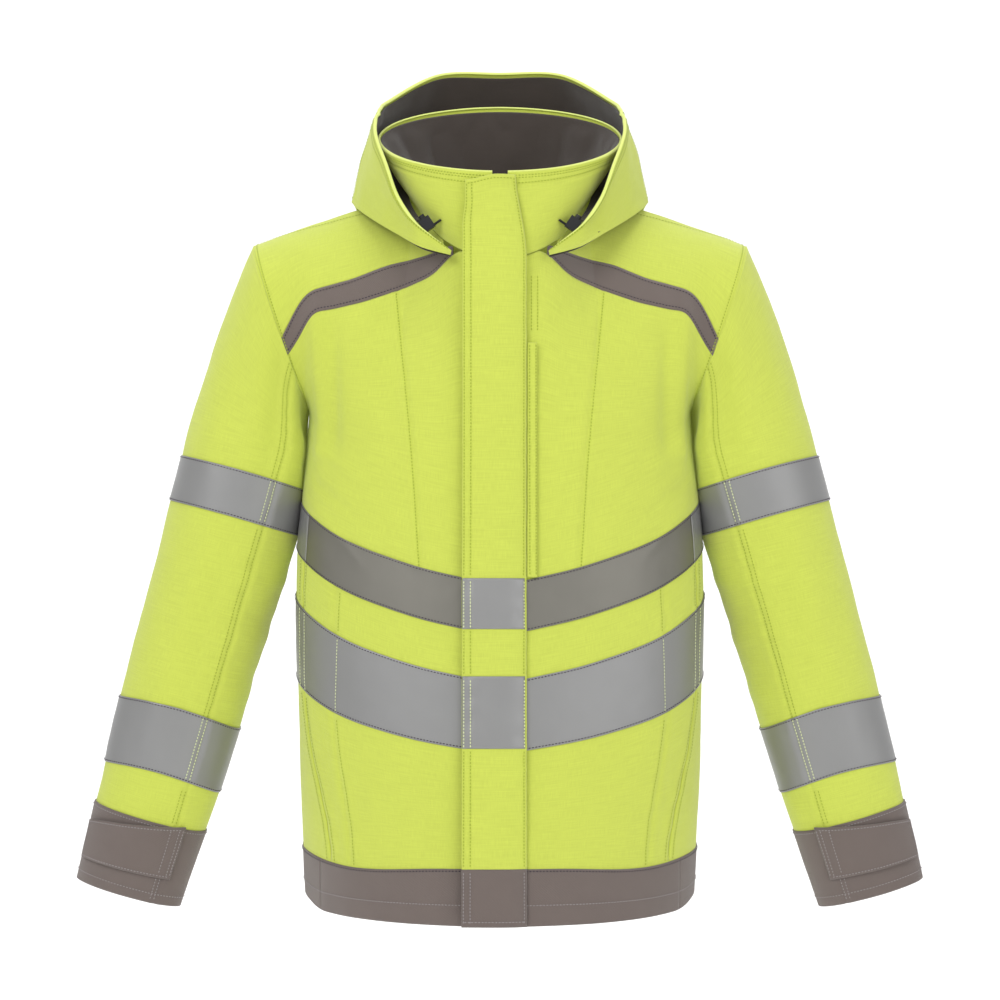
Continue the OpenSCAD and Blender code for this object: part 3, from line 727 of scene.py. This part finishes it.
def build_body(side, sign, seed):
    folds = lambda u, v, p: body_folds(p, seed)

    # lower front, below the chest tape
    def skirt_h(a, v, p):
        return body_folds(p, seed) + side_seams(a, v, seed) * smooth((v - 88) / 6)

    def panel(a0, a1):
        """Surface and height of the part between two edges, given as angles by row."""
        angle = lambda u, v: mix(a0(v), a1(v), u)
        return lambda u, v: low(angle(u, v), v), lambda u, v, p: skirt_h(angle(u, v), v, p)

    shape, height = panel(lambda v: 2.7, side_seam)
    sk = lay(shape, spaced(0, 1, 200), spaced(84, MID_ROW, 300), height, (0.004, 0.6))
    front = Piece(side + "_front_lower_cloth", sk, "hi_vis_cloth", side=sign)
    fasten(front, "coat", side + "_front_skirt")
    shape, height = panel(side_seam, lambda v: 113.0)
    sp = lay(shape, spaced(0, 1, 150), spaced(84, MID_ROW, 300), height, (0.004, 0.6))
    flank = Piece(side + "_side_cloth", sp, "hi_vis_cloth", side=sign)
    fasten(flank, "coat", side + "_side_panel")

    # chest: the rows below the armpit and those above it are one cloth
    def chest(q, w):
        """q is 0 to 1 across, w counts rows: below 1 the ring, from 1 to 2 the part above the armpits."""
        s = mix(S0, 1, q)
        under = low(90 * s, mix(MID_ROW, ARM_ROW, np.clip(w, -1, 1)))
        over = upper(s, strip_lo(s) * np.clip(w - 1, 0, 1), True)
        return np.where((w < 1)[..., None], under, over)

    ws = np.concatenate([np.linspace(0, 1, count(114), endpoint=False), np.linspace(1, 2, count(200))])
    ch = lay(chest, spaced(0, 1, 230), ws, folds, FINE)
    top = Piece(side + "_chest_cloth", ch, "hi_vis_cloth", side=sign)
    follow_body(top.ob)
    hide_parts(side + "_chest_panel")

    def strip(q, w):
        s = mix(STRIP_S, 1, q)
        return upper(s, mix(strip_lo(s), strip_hi(s), w), True)

    st = lay(strip, spaced(0, 1, 230), np.linspace(0, 1, 14), lambda u, v, p: body_folds(p, seed) + 0.3,
             (0.004, 0.02))
    band = Piece(side + "_shoulder_strip_cloth", st, "grey_cloth", side=sign, thick=1.0)
    follow_body(band.ob)
    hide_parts(side + "_shoulder_strip")

    def yoke(q, w):
        s = mix(0.24, 1, q)
        return upper(s, mix(strip_hi(s), 1.0, w), True)

    yo = lay(yoke, spaced(0, 1, 210), spaced(0, 1, 90), folds, FINE)
    yk = Piece(side + "_yoke_cloth", yo, "hi_vis_cloth", side=sign)
    follow_body(yk.ob)
    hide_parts(side + "_yoke")

    # half of the back, both below and above the armpit row
    def back(q, w):
        s = 1 - q
        under = low(180 - 90 * s, mix(MID_ROW, ARM_ROW, np.clip(w, -1, 1)))
        over = upper(s, np.clip(w - 1, 0, 1), False)
        return np.where((w < 1)[..., None], under, over)

    ws = np.concatenate([np.linspace(0, 1, count(114), endpoint=False), np.linspace(1, 2, count(230))])
    bk = lay(back, spaced(0, 1, 240), ws, folds, FINE)
    rear = Piece(side + "_upper_back_cloth", bk, "hi_vis_cloth", side=sign)
    follow_body(rear.ob)
    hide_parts("back_panel")

    # hem band and tapes ride over the panels
    def over(lift):
        return lambda a, v, p: body_folds(p, seed) * 0.8 + lift

    hem = lay(low, spaced(2.7, 67, 190), spaced(HEM_Z, 87, 55), over(0.9))
    hb = Piece(side + "_hem_cloth", hem, "grey_cloth", side=sign, thick=1.8)
    fasten(hb, "coat", side + "_hem_band")
    for name, v0, v1 in (("chest", 319, 369), ("waist", 203, 273)):
        tp = lay(low, spaced(2.7, 75, 210), spaced(v0, v1, v1 - v0), over(1.0))
        # painted shade: the front chest tape takes the darker copy of the reflective tape
        t = Piece(f"{side}_{name}_tape_cloth", tp, "chest_tape" if name == "chest" else "reflective_tape",
                  slot="reflective_tape", side=sign, thick=0.5)
        fasten(t, "coat", f"{side}_{name}_tape")

    # stitching
    rows = {"thread_yellow": [], "thread_plum": []}
    chest_rows = []
    hgt = over(1.0)
    for v0, v1 in ((319, 369), (203, 273)):
        for v in (v0 + 1.8, v1 - 1.8):
            rows["thread_plum"].append(row_on(low, hgt, np.linspace(3, 112, 160), v))
    rows["thread_plum"].append(row_on(low, over(0.9), np.linspace(3, 180, 200), 84.8))
    rows["thread_grey"] = [row_on(low, over(0.9), np.linspace(3, 180, 200), 52)]
    rows["thread_pale"] = []
    for seam, off in ((dart_seam, -1.4), (side_seam, -1.7), (side_seam, 1.7)):
        for v0, v1 in ((88, 200), (276, 318)):
            v = np.linspace(v0, v1, v1 - v0)
            rows["thread_yellow"].append(row_on(low, skirt_h, seam(v) + off, v))
        v = np.linspace(204, 272, 68)
        rows["thread_pale"].append(row_on(low, hgt, seam(v) + off, v))
    z = np.linspace(376, 656, 130)
    chest_rows.append(row_on(chest_front, folds, *locate(PRINCESS(z) + 2.2, z), nudge=FINE))
    for mat, r in rows.items():
        ob = sew(f"{side}_{mat}_body", r, mat, sign)
        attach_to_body(ob, "coat")
    up = lambda s, t: upper(s, t, True)
    s = np.linspace(STRIP_S + 0.02, 0.995, 160)
    dark_rows = [row_on(up, folds, s, strip_lo(s) + 0.012, 0.5, FINE),
                 row_on(up, folds, s, strip_hi(s) - 0.012, 0.5, FINE)]
    ob = sew(side + "_thread_strip", dark_rows, "thread_plum", sign)
    follow_body(ob)
    s = np.linspace(0.5, 0.995, 120)
    chest_rows.append(row_on(up, folds, s, 0.955 + 0 * s, 0.3, FINE))
    t = np.linspace(0.02, 0.98, 160)
    chest_rows.append(row_on(up, folds, 0.988, t, 0.3, FINE))
    ob = sew(side + "_thread_chest", chest_rows, "thread_yellow", sign)
    follow_body(ob)


def chest_front(s, t):
    """The chest with t from 0 at the armpit row up to 1, and below 0 down to the seam under the tape."""
    s, t = np.broadcast_arrays(np.asarray(s, float), np.asarray(t, float))
    under = low(90 * s, mix(ARM_ROW, MID_ROW, -np.minimum(t, 0)))
    return np.where((t < 0)[..., None], under, upper(s, np.maximum(t, 0), True))


def locate(x, z):
    """Columns and rows of the chest surface that lie at the given widths and heights."""
    s, t = np.full_like(x, 0.4), np.full_like(x, 0.4)
    for _ in range(80):
        p = chest_front(s, t)
        s = np.clip(s + (x - p[..., 0]) / 250, 0.03, 1)
        t = np.clip(t + (z - p[..., 2]) / 300, -1, 1)
    return s, t


def build_back():
    """Back of the skirt and of the hem, full width."""
    def wrap(a, v):
        h = np.where(a > 180, 360 - a, a)
        return low(h, v) * np.stack([np.where(a > 180, -1.0, 1.0), np.ones_like(a), np.ones_like(a)], -1)

    for name, mat, a0, a1, v0, v1, lift, nodes, thick in (
            ("back_lower_cloth", "hi_vis_cloth", 113, 247, 84, MID_ROW, 0, ["back_skirt"], 1.2),
            ("back_hem_cloth", "grey_cloth", 67, 293, HEM_Z, 87, 0.9, ["back_hem_band"], 1.8),
            ("back_chest_tape_cloth", "reflective_tape", 75, 285, 319, 369, 1.0, ["back_chest_tape"], 0.5),
            ("back_waist_tape_cloth", "reflective_tape", 75, 285, 203, 273, 1.0, ["back_waist_tape"], 0.5)):
        width = (a1 - a0) * 2.9
        p = lay(wrap, spaced(a0, a1, width), spaced(v0, v1, v1 - v0),
                   lambda a, v, p: body_folds(p) * (0.8 if lift else 1.0) + lift)
        b = Piece(name, p, mat, thick=thick)
        fasten(b, "coat", *nodes)
    p = lay(wrap, spaced(8, 352, 1100), spaced(100, 455, 200), lambda a, v, p: body_folds(p) * 0.6 - 3.0)
    lin = Piece("body_lining_cloth", p, "lining_cloth", thick=0.6)
    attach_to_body(lin.ob, "coat")
    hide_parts("torso_lining")


AROUND = np.linspace(359, 1, 140)
SEAM_ROWS = (SEAM_F + 1.6, SEAM_F + 6)


def build_sleeve(side, sign, seed):
    fn = lambda f, s: sleeve(s, f)
    h = lambda f, s, p: arm_folds(s, f, p, seed) * smooth((s + 6) / 12)
    back = np.linspace(360, 0, count(430))

    def tube(name, s0, s1, height, mat, thick=1.2, shape=fn):
        p = lay(shape, back, spaced(s0, s1, s1 - s0), height, ARM)
        # the surface runs inner side to inner side; join the ends exactly
        p[-1] = p[0]
        return Piece(name, p, mat, side=sign, thick=thick)

    cap = tube(side + "_sleeve_cap_cloth", 0, 184, h, "hi_vis_cloth")
    follow_cap(cap.ob, side)
    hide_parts(side + "_upper_sleeve")
    mid = tube(side + "_sleeve_elbow_cloth", 184, 450, h, "hi_vis_cloth")
    follow_elbow(mid.ob, side)
    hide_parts(side + "_upper_sleeve", side + "_lower_sleeve")
    wrist = tube(side + "_sleeve_wrist_cloth", 450, CUFF + 1, h, "hi_vis_cloth")
    fasten(wrist, side + "_forearm", side + "_lower_sleeve")

    lifted = lambda k: (lambda f, s, p: arm_folds(s, f, p, seed) * 0.75 + k)
    for name, s0, s1, body, rise in (("arm", 158, 206, "_upper_arm", 3), ("wrist", 415, 485, "_forearm", 9)):
        fn = lambda f, s: sleeve(s - rise * np.sin(np.radians(f)) ** 2, f)
        t = tube(f"{side}_{name}_tape_cloth", s0, s1, lifted(1.3), "reflective_tape", 0.5, fn)
        fasten(t, side + body, f"{side}_{name}_tape")
        rows = [row_on(fn, lifted(1.3), AROUND, s, nudge=ARM) for s in (s0 + 1.8, s1 - 1.8)]
        ob = sew(f"{side}_{name}_tape_thread", rows, "thread_plum", sign)
        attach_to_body(ob, side + body)
        down = np.linspace(s0 + 1, s1 - 1, 20)
        rows = [row_on(fn, lifted(1.3), f, down, nudge=ARM) for f in SEAM_ROWS]
        ob = sew(f"{side}_{name}_seam_thread", rows, "thread_pale", sign)
        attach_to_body(ob, side + body)
    fn = lambda f, s: sleeve(s, f)
    cuff = tube(side + "_cuff_cloth", CUFF, ARM_END, lifted(1.6), "grey_cloth", 2.0)
    fasten(cuff, side + "_forearm", side + "_cuff")
    rows = [row_on(fn, lifted(1.6), AROUND, s, nudge=ARM) for s in (ARM_END - 10, CUFF + 3)]
    down = np.linspace(CUFF + 2, ARM_END - 2, 30)
    rows += [row_on(fn, lifted(1.6), f, down, nudge=ARM) for f in SEAM_ROWS]
    ob = sew(side + "_cuff_thread", rows, "thread_grey", sign)
    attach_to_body(ob, side + "_forearm")

    # tab: sewn at the seam side, held by hook-and-loop at the outer side
    def tab(f, w):
        t = (f - 47) / 110
        return sleeve(mix(mix(524, 545, t), mix(581, 584, t), w), f)

    edge = lambda f, w, p: 4.6 + 0.5 * noise(p, 20, seed) + 1.0 * smooth((f - 60) / 60)
    tb = lay(tab, np.linspace(157, 47, count(130)), np.linspace(0, 1, count(50)), edge, (-0.3, 0.01))
    tp = Piece(side + "_cuff_tab_cloth", tb, "grey_cloth", side=sign, thick=1.8)
    fasten(tp, side + "_tab", side + "_cuff_tab")
    rows = [row_on(tab, edge, np.linspace(155, 49, 60), w, nudge=(-0.3, 0.01)) for w in (0.05, 0.95)]
    rows += [row_on(tab, edge, f, np.linspace(0.05, 0.95, 20), nudge=(-0.3, 0.01)) for f in (49, 53, 62, 155)]
    ob = sew(side + "_tab_thread", rows, "thread_grey", sign)
    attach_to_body(ob, side + "_tab")

    # seam stitching down the sleeve
    cap_rows, mid_rows, end_rows = [], [], []
    for off in (1.6, 6.0):
        for f in (SEAM_F + off, 360 - SEAM_F - off):
            cap_rows.append(row_on(fn, h, f, np.linspace(2, 157, 80), nudge=ARM))
            mid_rows.append(row_on(fn, h, f, np.linspace(208, 414, 110), nudge=ARM))
            end_rows.append(row_on(fn, h, f, np.linspace(487, CUFF - 1, 20), nudge=ARM))
    for name, rows, attach in (("cap", cap_rows, follow_cap), ("elbow", mid_rows, follow_elbow)):
        ob = sew(f"{side}_{name}_thread", rows, "thread_yellow", sign)
        attach(ob, side)
    ob = sew(side + "_wrist_thread", end_rows, "thread_yellow", sign)
    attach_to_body(ob, side + "_forearm")


def build_collar():
    def h(a, t, p):
        wave = 1.1 * noise(p, (45, 45, 45), 11) + 0.5 * noise(p, 20, 12)
        seam = groove((t - 0.84) * 85, 0.7, 1.3, 0.4, 5)
        return wave * smooth((a - 4) / 20) * smooth((356 - a) / 20) + seam

    span = spaced(3.5, 356.5, 640)
    p = lay(collar, span, spaced(0, 1, 95), h, RIM)
    outer = Piece("collar_cloth", p, "hi_vis_cloth", thick=1.4)
    fasten(outer, "coat", "collar_outer")

    def inner_h(a, t, p):
        soft = 3.4 * noise(p, (34, 34, 70), 21) + 1.8 * noise(p, (15, 15, 34), 22)
        return -3.2 - np.abs(soft) * smooth((0.97 - t) / 0.2)

    p = lay(collar, span, spaced(0.0, 0.965, 95), inner_h, RIM)
    inner = Piece("collar_lining_cloth", p, "lining_cloth", thick=0.6)
    fasten(inner, "coat", "collar_lining")

    # rolled top edge
    bead = []
    for k in range(9):
        t = math.pi * k / 8
        q, n = row_on(collar, h, span, 1.0, 0.0, RIM)
        bead.append(q + n * (1.9 * math.cos(t) - 2.0) + np.array([0, 0, 1.7 * math.sin(t)]))
    p = np.stack(bead, 1)
    # painted highlight: the rolled rim takes the lighter copy of the hi-vis cloth
    lip = Piece("collar_rim_cloth", p, "hi_vis_highlight", slot="hi_vis_cloth", thick=0)
    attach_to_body(lip.ob, "coat")
    rows = [row_on(collar, h, span, t, 0.3, RIM) for t in (0.955, 0.925, 0.865)]
    ob = sew("collar_thread", rows, "thread_yellow")
    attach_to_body(ob, "coat")


def build_hood():
    def h(a, t, p):
        m = np.abs(a - 0.5) * 2
        soft = 2.2 * noise(p, (60, 60, 60), 31) + 1.2 * noise(p, 26, 32) + 0.3 * noise(p, 12, 33)
        d = (a - np.where(a < 0.5, 0.30, 0.70)) * 560
        return soft * smooth((1 - m) * 6) * smooth(t / 0.15) * smooth((1.03 - t) / 0.15) \
            + groove(d, 1.0, 1.4, 0.8, 7)

    p = lay(hood, spaced(0, 1, 720), spaced(0, 1, 230), h, HOOD)
    shell = Piece("hood_cloth", p, "hi_vis_cloth", thick=1.3)
    fasten(shell, "hood", "hood_shell")

    def inner_h(a, t, p):
        return np.minimum(h(a, t, p), 2.0) - 3.4 - 1.2 * np.abs(noise(p, 34, 35))

    for name, t0, t1, mat, node in (("hood_lining_cloth", 0.0, 0.67, "lining_cloth", "hood_lining"),
                                    ("hood_brim_facing_cloth", 0.66, 0.985, "lining_cloth", "hood_facing")):
        p = lay(hood, spaced(0, 1, 700), spaced(t0, t1, (t1 - t0) * 230), inner_h, HOOD)
        q = Piece(name, p, mat, thick=0.6)
        fasten(q, "hood", node)
    bead = []
    span = spaced(0.004, 0.996, 720)
    full = smooth((0.5 - np.abs(span - 0.5)) / 0.04)[:, None]
    q, n = row_on(hood, h, span, 1.0, 0.0, HOOD)
    for k in range(9):
        t = math.pi * k / 8
        bead.append(q + (n * (1.8 * math.cos(t) - 1.8) + np.array([0, 0, 1.5 * math.sin(t)])) * full)
    # painted highlight: the rolled rim takes the lighter copy of the hi-vis cloth
    lip = Piece("hood_rim_cloth", np.stack(bead, 1), "hi_vis_highlight", slot="hi_vis_cloth", thick=0)
    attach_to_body(lip.ob, "hood")
    rows = [row_on(hood, h, span, t, 0.3, HOOD) for t in (0.965, 0.90)]
    for a in (0.293, 0.307, 0.693, 0.707):
        rows.append(row_on(hood, h, a, np.linspace(0.03, 0.89, 80), 0.3, HOOD))
    ob = sew("hood_thread", rows, "thread_yellow")
    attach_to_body(ob, "hood")

    p = lay(neck_band, spaced(0.115, 0.885, 520), spaced(0, 0.9, 95),
            lambda a, t, p: 1.2 * noise(p, 40, 41) * t * (1 - t) * 4, HOOD)
    # painted shade: the hi-vis neck band takes the dark lining cloth so the gap between hood and collar shows
    # as shade
    band = Piece("hood_neck_cloth", p, "lining_cloth", thick=1.2)
    w = np.broadcast_to(np.linspace(0, 1, p.shape[1]) ** 2, p.shape[:2]).ravel()
    weigh(band.ob, w)
    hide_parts("hood_neck_band")


# ---------------------------------------------------------------- front: flap, pocket and zip
LEAN = math.atan(FRONT_LEAN)
FRONT_LEN = 771 - HEM_Z


def on_front(x, q, z):
    """Point at x across, q in front of the body and z up the leaning front line."""
    x, q, z = np.broadcast_arrays(x, q, z)
    return np.stack([x + 0.0 * z, -FRONT_DEPTH - q * math.cos(LEAN) + z * math.sin(LEAN),
                     HEM_Z + q * math.sin(LEAN) + z * math.cos(LEAN)], -1)


flap_q = table([(-38, 4.6), (-24, 5.8), (-12, 6.9), (0, 7.2), (12, 6.4), (20, 4.2), (26, 1.6)], 6)
FLAP_X0, FLAP_X1, FLAP_TOP = -37.0, 25.5, 737.0


def flap(x, z):
    edge = np.where(z > 660, FLAP_X1 - 11 * smooth((z - 655) / 85), FLAP_X1)
    free = FLAP_X0 + 2.5 * smooth((z - 685) / 30)
    xs = mix(free, edge, (x - FLAP_X0) / (FLAP_X1 - FLAP_X0))
    slope = 5 * smooth((z - 690) / 46) * smooth((4 - x) / 40)
    return on_front(xs, flap_q(x), z - slope)


def build_front():
    def h(x, z, p):
        free = smooth((0 - x) / 30)
        wave = 0.8 * noise(p, (40, 40, 120), 51) + 0.3 * noise(p, (18, 18, 30), 52)
        edge = pucker(x + 31, z, 3.0) * 1.2 + pucker(x - 20, z, 5.0)
        return wave + edge + free * 1.2 * np.sin(z / 47.0 + 1.0) * 0.6 + groove(x + 31, 0.35, 1.3, 0.3, 5)

    raised = lambda lift: (lambda x, z, p: h(x, z, p) + lift)
    for name, mat, z0, z1, lift, node, thick in (
            ("flap_cloth", "hi_vis_cloth", 54, FLAP_TOP, 1.8, "storm_flap", 1.9),
            ("flap_hem_cloth", "grey_cloth", 0, 55.5, 2.2, "flap_hem_band", 2.3)):
        p = lay(flap, spaced(FLAP_X0, FLAP_X1, 64), spaced(z0, z1, z1 - z0), raised(lift))
        f = Piece(name, p, mat, thick=thick)
        follow_flap(f.ob)
        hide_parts(node)
    p = lay(flap, spaced(-35.5, -24.5, 12), spaced(70, 640, 570), lambda x, z, p: h(x, z, p) - 0.25)
    hooks = Piece("flap_hook_strip", p, "black_tape", thick=0.5)
    fasten(hooks, "flap", "hook_strip")
    for k, (z0, z1) in enumerate(((171.5, 241.5), (287.5, 337))):
        p = lay(flap, spaced(FLAP_X0 + 0.4, FLAP_X1 - 2, 62), spaced(z0, z1, z1 - z0), raised(2.6))
        f = Piece(f"flap_tape_cloth_{k}", p, "reflective_tape", thick=0.6)
        follow_flap(f.ob)
        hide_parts("flap_tapes")
    kinds = {"thread_yellow": [(57, 170), (243, 286), (339, FLAP_TOP - 3)],
             "thread_pale": [(172, 241), (288, 336)], "thread_grey": [(3, 54)]}
    lifts = {"thread_yellow": 2.0, "thread_pale": 2.8, "thread_grey": 2.4}
    for mat, spans in kinds.items():
        rows = []
        for z0, z1 in spans:
            z = np.linspace(z0, z1, int((z1 - z0) / 2))
            rows += [row_on(flap, raised(lifts[mat]), x, z) for x in (-35, -28.5, 22.6)]
        if mat == "thread_yellow":
            rows.append(row_on(flap, raised(1.8), np.linspace(-35, 23, 40), FLAP_TOP - 4))
        if mat == "thread_grey":
            rows.append(row_on(flap, raised(2.2), np.linspace(-35, 23, 40), 5))
        ob = sew("flap_" + mat, rows, mat)
        follow_flap(ob)

    # chest pocket welt beside the flap, on the wearer's left
    def welt(x, z):
        return on_front(x, 1.9 + 0 * x, z)

    p = lay(welt, np.linspace(26.6, 36.5, 6), spaced(338, 570, 232),
            lambda x, z, p: 0.2 + 0.2 * noise(p, 15, 61))
    f = Piece("chest_pocket_cloth", p, "hi_vis_cloth", thick=0.9)
    fasten(f, "coat", "chest_pocket_welt")
    rows = [row_on(welt, lambda x, z, p: 0.3 + 0 * x, x, np.linspace(340, 568, 120)) for x in (29.2, 35.5)]
    z = np.linspace(612, 668, 40)
    for x in (31.0, 37.0):
        rows.append(row_on(chest_front, lambda s, t, p: body_folds(p, 1.0), *locate(x + 0 * z, z),
                           nudge=FINE))
    ob = sew("chest_pocket_thread", rows, "thread_yellow")
    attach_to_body(ob, "coat")


def dress(node, body, mat):
    """A fitting keeps its CAD shape with softened edges and its own finish."""
    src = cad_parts[node]
    ob = bpy.data.objects.new(node + "_piece", src.data.copy())
    bpy.context.scene.collection.objects.link(ob)
    ob.data.materials.clear()
    ob.data.materials.append(MAT[mat])
    co = np.empty(len(ob.data.vertices) * 3)
    ob.data.vertices.foreach_get("co", co)
    if not ob.data.uv_layers:
        ob.data.uv_layers.new(name="UVMap")
    layer = ob.data.uv_layers[0]
    layer.name = "UVMap"
    index = np.empty(len(ob.data.loops), np.int32)
    ob.data.loops.foreach_get("vertex_index", index)
    layer.data.foreach_set("uv", co.reshape(-1, 3)[index][:, [0, 2]].astype(np.float32).ravel())
    m = ob.modifiers.new("edges", "BEVEL")
    m.width = 0.0002
    m.segments = 2
    m.limit_method = "ANGLE"
    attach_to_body(ob, body)
    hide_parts(node)


def build_fittings():
    for node, body, mat in (
            ("zip_tape_left", "coat", "black_tape"), ("zip_tape_right", "coat", "black_tape"),
            ("zip_teeth_left", "coat", "zip_plastic"), ("zip_teeth_right", "coat", "zip_plastic"),
            ("zip_bottom_stop", "coat", "zip_metal"), ("loop_strip", "coat", "black_tape"),
            ("hanger_loop", "coat", "lining_cloth"), ("zip_slider", "slider", "zip_metal"),
            ("zip_puller", "puller", "zip_metal")):
        dress(node, body, mat)
    for side in SIDES:
        dress(side + "_elastic_cord", "hood", "elastic")
        dress(side + "_cord_lock", "hood", "lock_plastic")
        dress(side + "_lock_button", side + "_button", "lock_plastic")


for number, (side, sign) in enumerate(SIDES.items()):
    build_body(side, sign, 1.0 + number)
    build_sleeve(side, sign, 1.7 + number)
build_back()
build_collar()
build_hood()
build_front()
build_fittings()


# ---------------------------------------------------------------- stage, light and camera
def studio():
    scene = bpy.context.scene
    floor_z = (0 - ORIGIN[2]) * MM - 0.9
    me = bpy.data.meshes.new("floor")
    y1, top, bend = 3.2, 4.5, 1.2
    turn = np.linspace(0, math.pi / 2, 12)
    curved = [(y1 - bend + bend * math.sin(t), bend - bend * math.cos(t)) for t in turn]
    prof = [(-9.0, 0.0)] + curved + [(y1, top)]
    verts = [(x, y, floor_z + z) for x in (-9, 9) for y, z in prof]
    n = len(prof)
    me.from_pydata(verts, [], [(i, n + i, n + i + 1, i + 1) for i in range(n - 1)])
    floor = bpy.data.objects.new("floor", me)
    scene.collection.objects.link(floor)
    m = bpy.data.materials.new("floor")
    m.use_nodes = True
    for socket, value in (("Base Color", (0.9, 0.9, 0.9, 1)), ("Roughness", 0.9),
                          ("Emission Color", (1, 1, 1, 1)), ("Emission Strength", 0.22)):
        m.node_tree.nodes["Principled BSDF"].inputs[socket].default_value = value
    me.materials.append(m)
    me.polygons.foreach_set("use_smooth", np.ones(n - 1, bool))
    world = bpy.data.worlds.new("world")
    scene.world = world
    world.use_nodes = True
    world.node_tree.nodes["Background"].inputs["Color"].default_value = (1, 1, 1, 1)
    world.node_tree.nodes["Background"].inputs["Strength"].default_value = 0.62
    aim = Vector((0, 0, -0.3))
    for name, loc, size, power in (("key", (-1.6, -2.6, 1.3), 1.8, 46), ("fill", (2.0, -2.4, 0.5), 2.2, 26),
                                   ("top", (0, 0.3, 2.2), 2.0, 26), ("back", (0, 2.4, 0.8), 2.5, 30)):
        light = bpy.data.lights.new(name, "AREA")
        light.size = size
        light.energy = power
        ob = bpy.data.objects.new(name, light)
        ob.location = loc
        ob.rotation_euler = (aim - Vector(loc)).to_track_quat("-Z", "Y").to_euler()
        scene.collection.objects.link(ob)
    cam = bpy.data.cameras.new("camera")
    cam.sensor_width = 36.0
    view_width, distance, eye = 1.04, 2.2, 445.0
    cam.lens = 36.0 * distance / view_width
    ob = bpy.data.objects.new("camera", cam)
    ob.location = (0, -distance - ORIGIN[1] * MM, (eye - ORIGIN[2]) * MM)
    ob.rotation_euler = (math.pi / 2, 0, 0)
    scene.collection.objects.link(ob)
    scene.camera = ob
    scene.view_settings.view_transform = "Standard"


studio()
